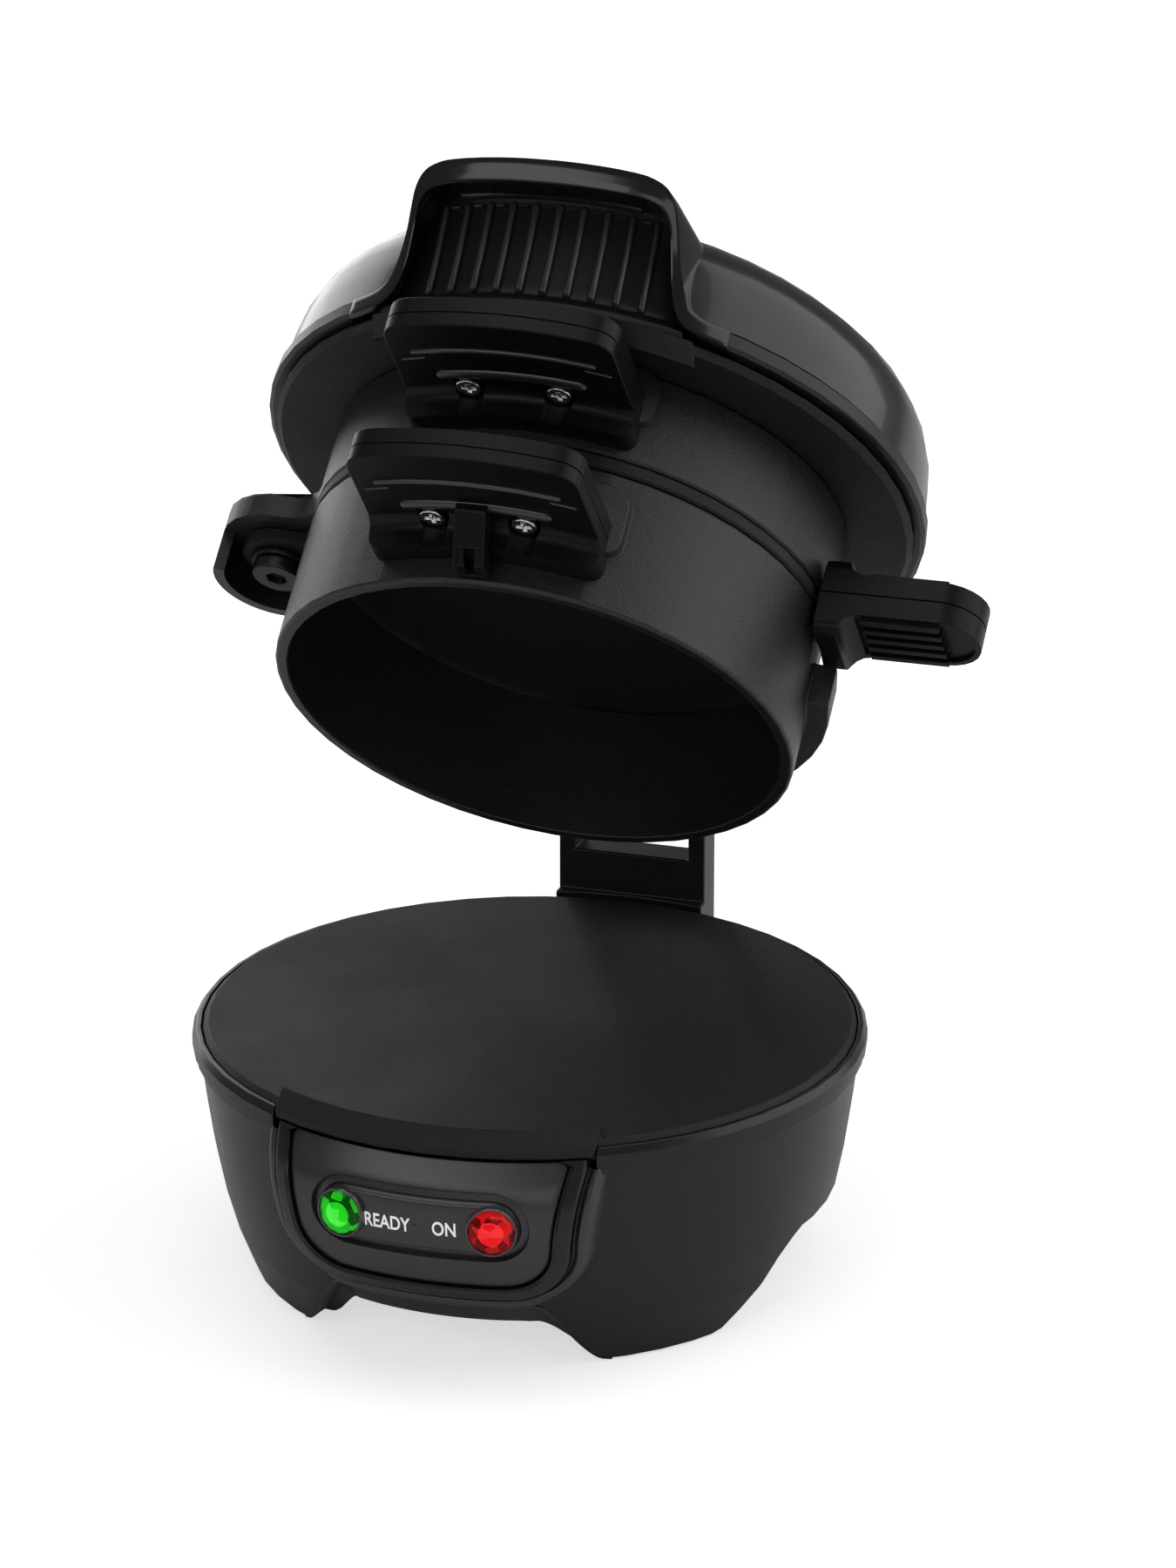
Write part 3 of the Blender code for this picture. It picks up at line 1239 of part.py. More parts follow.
def make_plate_handle(frame):
    halves = (
        ("plate_handle_bottom", PIVOT.z - GRIP_BELOW, PIVOT.z - GAP / 2, PIVOT.z - SHIELD_BELOW, -1),
        ("plate_handle_top", PIVOT.z + GRIP_ABOVE, PIVOT.z + GAP / 2, PIVOT.z + SHIELD_ABOVE, 1),
    )
    pocket = cutter("plate_handle_pocket", block("plate_handle_pocket", *tang_box(GAP)), frame)
    room = rod("plate_handle_room", SHIELD_INNER, 0, UPPER_RING_TOP, steps=ROUND_STEPS)
    room = cutter("plate_handle_room", room, frame)
    reach = GRIP_ASIDE + GRIP_HALF_WIDTH + OVERRUN
    for name, face, seam, shield_end, side in halves:
        low, high = sorted((seam - side * OVERRUN, shield_end + side * OVERRUN))
        plan = slab(name + "_plan", grip_outline(), low, high)
        end_view = grip_end_view(seam - side * WELD_REACH, shield_end)
        end_view = slab(name + "_end", end_view, SHIELD_INNER / 2, GRIP_REACH + 2 * OVERRUN, "X")
        side_view = slab(name, grip_side(seam, face, shield_end), -reach, reach, "Y")
        half = part(name, side_view, "satin black moulding", frame)
        keep_inside(half, cutter(name + "_plan", plan, frame), cutter(name + "_end", end_view, frame))
        cut(half, grip_field(name, face, side, frame))
        for index in range(GRIP_RIB_COUNT):
            join(half, grip_rib(name, index, face, side, frame))
        cut(half, pocket, room)


def grip_field(name, face, side, frame):
    """The shallow pocket that the handle's ribs stand in."""
    wide = GRIP_HALF_WIDTH - GRIP_EDGE
    start = SHIELD_INNER + SHIELD_THICKNESS + GRIP_RIB_START - GRIP_EDGE
    centre = (GRIP_REACH - GRIP_HALF_WIDTH, GRIP_ASIDE)
    tip = arc(centre, wide, -math.pi / 2, math.pi / 2, SMALL_STEPS)
    outline = [(start, tip[0][1])] + tip + [(start, tip[-1][1])]
    ends = sorted((face + side * OVERRUN, face - side * GRIP_FIELD_DEPTH))
    title = name + "_field"
    return cutter(title, slab(title, outline, ends[0], ends[1]), frame)


def grip_rib(name, index, face, side, frame):
    pitch = (2 * GRIP_HALF_WIDTH - 2 * GRIP_EDGE - GRIP_RIB_WIDTH) / (GRIP_RIB_COUNT - 1)
    across = (index - (GRIP_RIB_COUNT - 1) / 2) * pitch + GRIP_ASIDE
    title = "%s_rib_%d" % (name, index)
    ends = sorted((face + side * GRIP_RIB_PROUD, face - side * GRIP_FIELD_DEPTH - side * GAP))
    rib = block(
        title,
        (SHIELD_INNER + SHIELD_THICKNESS + GRIP_RIB_START, across - GRIP_RIB_WIDTH / 2, ends[0]),
        (GRIP_REACH - GRIP_RIB_MARGIN, across + GRIP_RIB_WIDTH / 2, ends[1]),
    )
    return cutter(title, rib, frame)


def lid_side(offset):
    """Points from the lid's crown down its side, moved outward by an offset."""
    points = []
    for height_share, radius_share in reversed(lid_side_shares):
        height = LID_TRIM_HIGH + GAP + LID_HEIGHT * height_share
        lift = offset * (1 - radius_share)
        points.append((LID_SIDE_RADIUS * radius_share + offset * radius_share, height + lift))
    return points


def make_lid_shell(frame):
    crown = LID_TRIM_HIGH + GAP + LID_HEIGHT
    outer = [(0, crown)] + lid_side(0)
    inner = lid_side(-WALL)
    profile = outer + inner[::-1] + [(0, crown - WALL)]
    shell = part("lid_shell", turned("lid_shell", profile), "gloss black moulding", frame)
    front = -HOOD_REACH - OVERRUN
    opening = [(front, HOOD_FOOT - OVERRUN), (-GRIP_WALL_FOOT + GAP, HOOD_FOOT - OVERRUN)]
    opening += grip_wall_line(-GAP, HOOD_FOOT, pocket_roof()) + [(front, pocket_roof())]
    half = HOOD_HALF_WIDTH - HOOD_RIM
    cut(shell, cutter("lid_shell_opening", slab("lid_shell_opening", opening, -half, half, "X"), frame))


def lid_clearance(frame, name):
    crown = LID_TRIM_HIGH + GAP + LID_HEIGHT + GAP
    profile = [(0, crown)] + lid_side(GAP)
    outside = TRIM_RADIUS + GAP
    profile += [(outside, LID_TRIM_HIGH + GAP), (outside, LID_PLATE_LOW - GAP), (0, LID_PLATE_LOW - GAP)]
    return cutter(name, turned(name, profile), frame)


def make_lid_trim(frame):
    inner = LID_BOSS_RADIUS + GAP
    middle = (LID_TRIM_LOW + LID_TRIM_HIGH) / 2
    profile = [
        (LID_SIDE_RADIUS, LID_TRIM_HIGH),
        (TRIM_RADIUS, LID_TRIM_HIGH - TRIM_STEP),
        (TRIM_RADIUS, LID_TRIM_LOW + TRIM_STEP),
        (LID_SIDE_RADIUS, LID_TRIM_LOW),
        (inner, LID_TRIM_LOW),
        (inner, middle),
        (LID_SIDE_RADIUS - WALL, middle),
        (LID_SIDE_RADIUS - WALL, LID_TRIM_HIGH),
    ]
    trim = part("lid_trim_ring", turned("lid_trim_ring", profile), "satin black moulding", frame)
    post_circle = (PLATE_RADIUS + LID_BOSS_RADIUS) / 2 + PLATE_CHAMFER
    post_low = LID_PLATE_LOW + LID_PLATE_EDGE + GAP
    for index, angle in enumerate(LID_POST_ANGLES):
        place = (post_circle * math.sin(angle), -post_circle * math.cos(angle))
        name = "lid_post_%d" % index
        post = rod(name, LID_POST_RADIUS, post_low, LID_TRIM_LOW + SINK, place, steps=8)
        join(trim, cutter(name, post, frame))


def make_upper_plate(frame):
    name = "upper_heating_plate"
    skirt = LID_PLATE_EDGE - SINK / 2
    plate, lip, lip_slice = heating_plate(name, frame, LID_BOSS_RADIUS, LID_PLATE_EDGE, skirt)
    flip = Matrix.Translation((0, 0, LID_PLATE_LOW)) @ Matrix.Scale(-1, 4, (0, 0, 1))
    for obj in (plate, lip, lip_slice):
        obj.data.transform(flip)
        obj.data.flip_normals()


def make_upper_heater(frame):
    over = LID_PLATE_LOW + PLATE_THICKNESS + GAP
    name = "upper_heating_element"
    part(name, element_mesh(name, over + ELEMENT_WIRE), "heater sheath", frame)
    can = rod("upper_thermostat", THERMOSTAT_RADIUS, over, over + THERMOSTAT_HEIGHT, steps=DISC_STEPS)
    part("upper_thermostat", can, "thermostat ceramic", frame)


def hood_section(height, half_width, reach, back):
    corners = [(half_width, -back), (half_width, -reach), (-half_width, -reach), (-half_width, -back)]
    outline = rounded(corners, (0, HOOD_CORNER, HOOD_CORNER, 0))
    return [(across, deep, height) for across, deep in outline]


def hood_mesh():
    sections = []
    for height_share, width_share, length_share in hood_section_shares:
        height = HOOD_FOOT + (HOOD_ROOF - HOOD_FOOT) * height_share
        reach = HOOD_BACK + HOOD_LENGTH * length_share
        sections.append(hood_section(height, HOOD_HALF_WIDTH * width_share, reach, HOOD_BACK))
    return loft("lid_handle", sections)


def grip_wall_depth(height):
    """Where the finger wall inside the hood lies: it leans forward, faster towards the roof."""
    share = (height - HOOD_FOOT) / (pocket_roof() - HOOD_FOOT)
    return GRIP_WALL_FOOT + GRIP_WALL_LEAN * share * share


def pocket_roof():
    return HOOD_ROOF - HOOD_ROOF_THICKNESS


def grip_wall_line(offset, low, high, steps=CORNER_STEPS + 2):
    heights = [low + (high - low) * step / steps for step in range(steps + 1)]
    return [(-grip_wall_depth(height) - offset, height) for height in heights]


def make_lid_handle(frame):
    hood = part("lid_handle", hood_mesh(), "gloss black moulding", frame)
    cut(hood, lid_clearance(frame, "lid_handle_clearance"))
    low = HOOD_FOOT - OVERRUN
    front = -HOOD_REACH - OVERRUN
    side = [(front, low), (-GRIP_WALL_FOOT, low)] + grip_wall_line(0, HOOD_FOOT, pocket_roof())
    side += [(front, pocket_roof())]
    half = HOOD_HALF_WIDTH - HOOD_RIM
    reach = HOOD_HALF_WIDTH * 2
    deep = cutter("hood_pocket", slab("hood_pocket", side, -reach, reach, "X"), frame)
    knee = HOOD_FOOT + POCKET_FOOT_FLARE
    corners = [
        (-half - POCKET_FOOT_FLARE, low),
        (half + POCKET_FOOT_FLARE, low),
        (half + POCKET_FOOT_FLARE, HOOD_FOOT),
        (half, knee),
        (half, pocket_roof() - GAP),
        (-half, pocket_roof() - GAP),
        (-half, knee),
        (-half - POCKET_FOOT_FLARE, HOOD_FOOT),
    ]
    window = rounded(corners, (0, 0, 0, POCKET_CORNER, POCKET_CORNER, POCKET_CORNER, POCKET_CORNER, 0))
    name = "hood_pocket_window"
    keep_inside(deep, cutter(name, slab(name, window, -HOOD_REACH - OVERRUN * 2, -HOOD_BACK, "Y"), frame))
    cut(hood, deep)
    make_grip_insert(frame, half - GAP)


def make_grip_insert(frame, half):
    low = HOOD_FOOT
    high = pocket_roof() - GAP * 2
    name = "lid_grip_insert"
    outline = grip_wall_line(GAP, low, high) + grip_wall_line(GAP + GRIP_WALL, low, high)[::-1]
    insert = part(name, slab(name, outline, -half, half, "X"), "gloss black moulding", frame)
    under = low - OVERRUN
    over = high + WELD_REACH
    corners = [(-half, under), (half, under), (half, over), (-half, over)]
    window = rounded(corners, (0, 0, POCKET_CORNER, POCKET_CORNER))
    name = "grip_insert_window"
    keep_inside(insert, cutter(name, slab(name, window, -HOOD_REACH, -HOOD_BACK, "Y"), frame))
    rib_low = low + GRIP_WALL
    rib_high = high - GRIP_WALL * 3
    raised = grip_wall_line(GAP + GRIP_WALL / 2, rib_low, rib_high)
    raised += grip_wall_line(GAP + GRIP_WALL + LID_RIB_PROUD, rib_low, rib_high)[::-1]
    for index in range(LID_RIB_COUNT):
        middle = (index - (LID_RIB_COUNT - 1) / 2) * LID_RIB_PITCH
        if abs(middle) + LID_RIB_WIDTH / 2 > half:
            middle = math.copysign(half - LID_RIB_WIDTH / 2 - GAP, middle)
        title = "lid_rib_%d" % index
        rib = slab(title, raised, middle - LID_RIB_WIDTH / 2, middle + LID_RIB_WIDTH / 2, "X")
        join(insert, cutter(title, rib, frame))
    ridge_high = rib_high + RIDGE_HEIGHT + GAP
    ridge_low = ridge_high - RIDGE_HEIGHT
    ridge = grip_wall_line(GAP + GRIP_WALL / 2, ridge_low, ridge_high, 1)
    ridge += grip_wall_line(GAP + GRIP_WALL + RIDGE_PROUD, ridge_low, ridge_high, 1)[::-1]
    ridge = slab("lid_ridge", ridge, -RIDGE_LENGTH / 2, RIDGE_LENGTH / 2, "X")
    join(insert, cutter("lid_ridge", ridge, frame))


def make_lid_arm(frame):
    """Two hinge leaves and the cross piece that fastens them to the lid."""
    column_front = TRIM_RADIUS + GAP
    column_rear = HINGE_BEHIND + KNUCKLE_RADIUS
    top = LID_TRIM_HIGH + LID_HEIGHT / 2
    outline = [(column_front - WALL, top), (column_front - WALL, LID_TRIM_LOW), (column_front, LID_TRIM_LOW)]
    outline += [(HINGE_BEHIND - KNUCKLE_RADIUS, HINGE_ABOVE + KNUCKLE_RADIUS)]
    outline += hinge_arc(math.pi, math.tau)
    outline += [(column_rear, LID_TRIM_HIGH), (column_rear - WALL, top)]
    half = BRACKET_HALF - ARM_THICKNESS - ARM_GAP
    solid = slab("lid_hinge_arm", outline, -half, half, "X")
    arm = part("lid_hinge_arm", solid, "satin black moulding", frame)
    inner = half - ARM_THICKNESS
    slot = block(
        "lid_arm_slot",
        (-inner, RING_RADIUS, HINGE_ABOVE - KNUCKLE_RADIUS - OVERRUN),
        (inner, BRACKET_REAR + OVERRUN, LID_PLATE_LOW),
    )
    cut(arm, lid_clearance(frame, "lid_arm_clearance"), cutter("lid_arm_slot", slot, frame))
    cut(arm, pin_hole("lid_arm_pin_hole", frame))


def make_base():
    make_base_shell()
    make_foot_pads()
    make_trim_ring()
    make_lower_plate()
    make_lower_heater()
    make_bottom_cover()
    make_cord_gland()
    make_control_panel()
    make_hinge_bracket()
    make_hinge_pin()


def make_rings(lower, upper, pivot):
    make_lower_ring(lower)
    under = make_tab("lower", 0, lower)
    make_clip(lower, under)
    make_upper_ring(upper)
    make_tab("upper", TAB_RAISE, upper)
    make_egg_plate(pivot)
    make_pivot(upper)
    make_plate_handle(pivot)


def make_lid(frame):
    make_lid_shell(frame)
    make_lid_trim(frame)
    make_upper_plate(frame)
    make_upper_heater(frame)
    make_lid_handle(frame)
    make_lid_arm(frame)


clear_scene()
PARTS = new_collection("breakfast sandwich maker")
CUTTERS = new_collection("cutters")
lower_hinge = hinge_frame("lower ring hinge", HINGE, tilt=-OPEN_ANGLE)
upper_hinge = hinge_frame("upper ring hinge", HINGE, lower_hinge, HINGE)
lid_hinge = hinge_frame("lid hinge", HINGE, upper_hinge, HINGE)
plate_pivot = hinge_frame("egg plate pivot", PIVOT, upper_hinge, HINGE)
make_base()
make_rings(lower_hinge, upper_hinge, plate_pivot)
make_lid(lid_hinge)
bpy.context.view_layer.update()
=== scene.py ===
"""Breakfast sandwich maker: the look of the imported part, in metres, seen as in the photograph."""

import json
import math

import bmesh
import bpy
from mathutils import Matrix, Vector

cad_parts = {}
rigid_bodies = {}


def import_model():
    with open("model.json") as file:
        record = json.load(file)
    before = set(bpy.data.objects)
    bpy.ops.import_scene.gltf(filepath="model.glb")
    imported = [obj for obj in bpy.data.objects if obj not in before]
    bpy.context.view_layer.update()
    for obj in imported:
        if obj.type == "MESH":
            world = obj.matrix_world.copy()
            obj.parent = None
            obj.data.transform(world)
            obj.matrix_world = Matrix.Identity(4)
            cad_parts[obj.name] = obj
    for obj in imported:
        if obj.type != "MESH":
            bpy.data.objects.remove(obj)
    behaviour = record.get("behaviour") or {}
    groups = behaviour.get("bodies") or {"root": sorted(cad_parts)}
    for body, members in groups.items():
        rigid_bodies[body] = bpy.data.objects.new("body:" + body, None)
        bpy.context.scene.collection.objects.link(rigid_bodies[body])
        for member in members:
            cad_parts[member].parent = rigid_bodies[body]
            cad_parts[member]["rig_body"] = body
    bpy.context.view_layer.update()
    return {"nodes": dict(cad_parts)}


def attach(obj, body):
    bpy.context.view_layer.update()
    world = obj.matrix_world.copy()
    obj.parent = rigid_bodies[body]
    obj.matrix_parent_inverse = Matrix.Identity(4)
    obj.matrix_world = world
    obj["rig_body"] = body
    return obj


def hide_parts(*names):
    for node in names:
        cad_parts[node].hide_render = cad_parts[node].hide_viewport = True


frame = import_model()

# The joint that opens the rings and the lid, and how far the photograph shows it open
HINGE = Vector((0, 0.07785, 0.03115))
OPEN_TURN = math.radians(-47.64)
OPEN = Matrix.Translation(HINGE) @ Matrix.Rotation(OPEN_TURN, 4, "X") @ Matrix.Translation(-HINGE)
FLOOR = -0.056
MM = 0.001

# Edges above the first angle are sharp, and faces within the second one are joined
SHARP = math.radians(35)
FLAT = math.radians(1)
# Points nearer to each other than this are one point
MERGE = 0.00001
BEVEL_STEPS = 2


# Materials


def node(tree, kind, **settings):
    made = tree.nodes.new(kind)
    for name, value in settings.items():
        setattr(made, name, value)
    return made


def noise(tree, coordinates, scale, detail=2.0, roughness=0.5):
    made = node(tree, "ShaderNodeTexNoise")
    made.inputs["Scale"].default_value = scale
    made.inputs["Detail"].default_value = detail
    made.inputs["Roughness"].default_value = roughness
    tree.links.new(coordinates, made.inputs["Vector"])
    return made.outputs["Fac"]


def remap(tree, value, low, high, start=0.3, end=0.7):
    made = node(tree, "ShaderNodeMapRange")
    made.inputs["From Min"].default_value = start
    made.inputs["From Max"].default_value = end
    made.inputs["To Min"].default_value = low
    made.inputs["To Max"].default_value = high
    tree.links.new(value, made.inputs["Value"])
    return made.outputs["Result"]


def bump(tree, height, strength, distance, normal=None):
    made = node(tree, "ShaderNodeBump")
    made.inputs["Strength"].default_value = strength
    made.inputs["Distance"].default_value = distance
    tree.links.new(height, made.inputs["Height"])
    if normal:
        tree.links.new(normal, made.inputs["Normal"])
    return made.outputs["Normal"]


# Grain, flow marks and smears of a surface: scales of their noise, and bump heights in metres
GRAIN_HEIGHT = 0.00013
FLOW_SCALE = 45.0
FLOW_STRENGTH = 0.12
FLOW_HEIGHT = 0.0004
SMEAR_SCALE = 28.0


def surface_group():
    """Grain of a moulded or cast surface: a bumped normal, a handling mask and a fine speckle."""
    group = bpy.data.node_groups.new("moulded surface", "ShaderNodeTree")
    side = group.interface
    side.new_socket("Grain Scale", in_out="INPUT", socket_type="NodeSocketFloat")
    side.new_socket("Grain Depth", in_out="INPUT", socket_type="NodeSocketFloat")
    side.new_socket("Normal", in_out="OUTPUT", socket_type="NodeSocketVector")
    side.new_socket("Handling", in_out="OUTPUT", socket_type="NodeSocketFloat")
    side.new_socket("Speckle", in_out="OUTPUT", socket_type="NodeSocketFloat")
    given = node(group, "NodeGroupInput")
    result = node(group, "NodeGroupOutput")
    place = node(group, "ShaderNodeTexCoord").outputs["Object"]
    grain = node(group, "ShaderNodeTexNoise")
    grain.inputs["Detail"].default_value = 3.0
    grain.inputs["Roughness"].default_value = 0.6
    group.links.new(place, grain.inputs["Vector"])
    group.links.new(given.outputs["Grain Scale"], grain.inputs["Scale"])
    fine = node(group, "ShaderNodeBump")
    fine.inputs["Distance"].default_value = GRAIN_HEIGHT
    group.links.new(given.outputs["Grain Depth"], fine.inputs["Strength"])
    group.links.new(grain.outputs["Fac"], fine.inputs["Height"])
    flow = noise(group, place, FLOW_SCALE)
    uneven = bump(group, flow, FLOW_STRENGTH, FLOW_HEIGHT, fine.outputs["Normal"])
    group.links.new(uneven, result.inputs["Normal"])
    smears = noise(group, place, SMEAR_SCALE, 4.0, 0.62)
    group.links.new(remap(group, smears, 0.0, 1.0), result.inputs["Handling"])
    group.links.new(remap(group, grain.outputs["Fac"], 0.0, 1.0, 0.35, 0.75), result.inputs["Speckle"])
    return group


SURFACE = surface_group()


def surface(
    name,
    dark,
    light,
    smoothest,
    roughest,
    grain_scale,
    grain_depth,
    metallic=0.0,
    coat=0.0,
    specular=0.5,
    glow=0.0,
):
    """A surface whose colour follows its speckle, and whose roughness follows how it was handled."""
    made = bpy.data.materials.new(name)
    made.use_nodes = True
    tree = made.node_tree
    shader = tree.nodes["Principled BSDF"]
    shader.inputs["Metallic"].default_value = metallic
    shader.inputs["Coat Weight"].default_value = coat
    shader.inputs["Coat Roughness"].default_value = 0.05
    shader.inputs["Specular IOR Level"].default_value = specular
    # Glow in the light colour, painted light; only the printed words use it
    shader.inputs["Emission Color"].default_value = (*light, 1)
    shader.inputs["Emission Strength"].default_value = glow
    grain = node(tree, "ShaderNodeGroup", node_tree=SURFACE)
    grain.inputs["Grain Scale"].default_value = grain_scale
    grain.inputs["Grain Depth"].default_value = grain_depth
    tint = node(tree, "ShaderNodeMix", data_type="RGBA")
    tint.inputs["A"].default_value = (*dark, 1)
    tint.inputs["B"].default_value = (*light, 1)
    tree.links.new(grain.outputs["Speckle"], tint.inputs["Factor"])
    tree.links.new(tint.outputs["Result"], shader.inputs["Base Color"])
    roughness = remap(tree, grain.outputs["Handling"], smoothest, roughest, 0.0, 1.0)
    tree.links.new(roughness, shader.inputs["Roughness"])
    tree.links.new(grain.outputs["Normal"], shader.inputs["Normal"])
    return made


# Facets and wear of a lens: scales of their patterns
FACET_SCALE = 430.0
WEAR_SCALE = 900.0


def lens(name, deep, bright):
    """A cut lens over a lamp: each facet is brighter or deeper, and the flat middle glows evenly."""
    made = bpy.data.materials.new(name)
    made.use_nodes = True
    tree = made.node_tree
    shader = tree.nodes["Principled BSDF"]
    place = node(tree, "ShaderNodeTexCoord").outputs["Object"]
    cells = node(tree, "ShaderNodeTexVoronoi")
    cells.inputs["Scale"].default_value = FACET_SCALE
    tree.links.new(place, cells.inputs["Vector"])
    shade = node(tree, "ShaderNodeRGBToBW")
    tree.links.new(cells.outputs["Color"], shade.inputs["Color"])
    tint = node(tree, "ShaderNodeMix", data_type="RGBA")
    tint.inputs["A"].default_value = (*deep, 1)
    tint.inputs["B"].default_value = (*bright, 1)
    tree.links.new(remap(tree, shade.outputs["Val"], 0.0, 1.0, 0.35, 0.65), tint.inputs["Factor"])
    tree.links.new(tint.outputs["Result"], shader.inputs["Base Color"])
    tree.links.new(tint.outputs["Result"], shader.inputs["Emission Color"])
    wear = noise(tree, place, WEAR_SCALE, 3.0)
    tree.links.new(bump(tree, wear, 0.05, 0.0001), shader.inputs["Normal"])
    shader.inputs["Emission Strength"].default_value = 0.45
    shader.inputs["Roughness"].default_value = 0.06
    shader.inputs["Specular IOR Level"].default_value = 0.25
    return made


BLACK = (0.0065, 0.0065, 0.0070)
SOFT_BLACK = (0.0125, 0.0125, 0.0130)
DEEP = (0.0035, 0.0035, 0.0038)
GREY = (0.024, 0.024, 0.0245)
# Looks, as names, dark and light colours, least and most roughness, and the grain's scale and depth
LOOKS = {
    "satin_black": surface("satin black moulding", BLACK, SOFT_BLACK, 0.32, 0.40, 2400.0, 0.10),
    # Lighter copy of the black moulding: painted highlight on the ribs, bars, ridge, skirt and panel face
    "painted_highlight_black": surface("satin black with painted highlight", SOFT_BLACK, GREY, 0.28, 0.36, 2400.0, 0.05, specular=0.9),
    "tab_black": surface("satin black tab", DEEP, BLACK, 0.30, 0.38, 2400.0, 0.08, specular=0.2),
    "base_black": surface("smooth black housing", BLACK, SOFT_BLACK, 0.25, 0.33, 3000.0, 0.03),
    "gloss_black": surface("gloss black moulding", DEEP, BLACK, 0.13, 0.19, 3500.0, 0.015, coat=0.4),
    "lid_black": surface("half gloss black lid", DEEP, BLACK, 0.20, 0.27, 3500.0, 0.02, coat=0.25),
    "ring_black": surface("grained ring coating", DEEP, GREY, 0.31, 0.38, 2500.0, 0.95, specular=0.6),
    "nonstick": surface(
        "non-stick coating", DEEP, (0.017, 0.017, 0.0175), 0.50, 0.62, 2300.0, 0.80, specular=0.4
    ),
    "steel": surface(
        "bright screw steel", (0.84, 0.84, 0.83), (0.95, 0.95, 0.94), 0.10, 0.18, 2200.0, 0.1, metallic=1.0
    ),
    "dark_steel": surface(
        "blackened steel", BLACK, (0.04, 0.04, 0.04), 0.30, 0.42, 2200.0, 0.25, metallic=0.5
    ),
    "heater": surface(
        "heater sheath", (0.16, 0.15, 0.14), (0.27, 0.25, 0.23), 0.45, 0.6, 900.0, 0.3, metallic=0.9
    ),
    "ceramic": surface("thermostat ceramic", (0.68, 0.65, 0.58), (0.78, 0.75, 0.69), 0.5, 0.65, 1500.0, 0.2),
    "rubber": surface("black rubber", SOFT_BLACK, GREY, 0.75, 0.9, 1600.0, 0.5, specular=0.3),
    # The printed words also glow a little: painted light that makes the print read whiter
    "marking": surface(
        "printed marking with painted glow", (0.80, 0.80, 0.80), (0.92, 0.92, 0.92), 0.45, 0.6, 1800.0, 0.1, glow=0.4
    ),
    "bezel": surface(
        "lamp bezel", (0.10, 0.10, 0.10), (0.16, 0.16, 0.16), 0.16, 0.25, 1800.0, 0.05, metallic=0.6
    ),
    "green_lens": lens("green lens", (0.0, 0.06, 0.0), (0.01, 0.55, 0.01)),
    "green_glow": lens("green lens middle", (0.01, 0.70, 0.01), (0.08, 1.0, 0.06)),
    "red_lens": lens("red lens", (0.10, 0.0, 0.0), (0.62, 0.004, 0.005)),
    "red_glow": lens("red lens middle", (0.85, 0.004, 0.006), (1.0, 0.03, 0.03)),
}


# Shapes


def finish_piece(name, mesh, look, body, stands_for=(), bevel=0.0, closed=False):
    """Gives a mesh its look and its body. A mesh drawn with the maker closed is opened first."""
    if closed:
        mesh.transform(OPEN)
    mesh.materials.clear()
    mesh.materials.append(LOOKS[look])
    mesh.shade_smooth()
    mesh.set_sharp_from_angle(angle=SHARP)
    obj = bpy.data.objects.new(name, mesh)
    bpy.context.scene.collection.objects.link(obj)
    if bevel:
        edge = obj.modifiers.new("edges", "BEVEL")
        edge.width = bevel
        edge.segments = BEVEL_STEPS
        edge.limit_method = "ANGLE"
        edge.angle_limit = SHARP
        flat = obj.modifiers.new("flat faces", "WEIGHTED_NORMAL")
        flat.keep_sharp = True
    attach(obj, body)
    if stands_for:
        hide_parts(*stands_for)
    return obj


def dressed(node_name, look, bevel=0.0):
    """A copy of a CAD node with its points merged, its edges softened and its round faces smooth."""
    source = frame["nodes"][node_name]
    edit = bmesh.new()
    edit.from_mesh(source.data)
    bmesh.ops.remove_doubles(edit, verts=edit.verts[:], dist=MERGE)
    bmesh.ops.dissolve_limit(edit, angle_limit=FLAT, verts=edit.verts[:], edges=edit.edges[:])
    mesh = bpy.data.meshes.new(node_name + "_look")
    edit.to_mesh(mesh)
    edit.free()
    body = source["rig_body"]
    return finish_piece(node_name + "_look", mesh, look, body, (node_name,), bevel)


def smooth(points, steps=4):
    """A curve through the given points, with a number of steps between each two."""
    points = [Vector(point) for point in points]
    padded = [2 * points[0] - points[1]] + points + [2 * points[-1] - points[-2]]
    curve = []
    for before, here, ahead, after in zip(padded, padded[1:], padded[2:], padded[3:]):
        for step in range(steps):
            share = step / steps
            curve.append(
                here
                + 0.5 * share * (ahead - before)
                + share**2 * (before - 2.5 * here + 2 * ahead - 0.5 * after)
                + share**3 * (-0.5 * before + 1.5 * here - 1.5 * ahead + 0.5 * after)
            )
    return curve + [points[-1]]


def along(curve, value):
    """The point of a curve where its first coordinate has a value."""
    for first, second in zip(curve, curve[1:]):
        low, high = sorted((first[0], second[0]))
        if low <= value <= high and high > low:
            return first.lerp(second, (value - first[0]) / (second[0] - first[0]))
    return min((curve[0], curve[-1]), key=lambda point: abs(point[0] - value))


def add_rows(edit, rows, wrap=True, caps=False):
    """Joins rows of as many points each, in millimetres."""
    lines = [[edit.verts.new(Vector(point) * MM) for point in row] for row in rows]
    count = len(lines[0])
    for low, high in zip(lines, lines[1:]):
        for index in range(count if wrap else count - 1):
            after = (index + 1) % count
            edit.faces.new((low[index], low[after], high[after], high[index]))
    if caps:
        edit.faces.new(lines[0][::-1])
        edit.faces.new(lines[-1])


def meshed(name, edit):
    """Turns an edited mesh into a named one, with its faces turned outward."""
    bmesh.ops.recalc_face_normals(edit, faces=edit.faces[:])
    mesh = bpy.data.meshes.new(name)
    edit.to_mesh(mesh)
    edit.free()
    return mesh


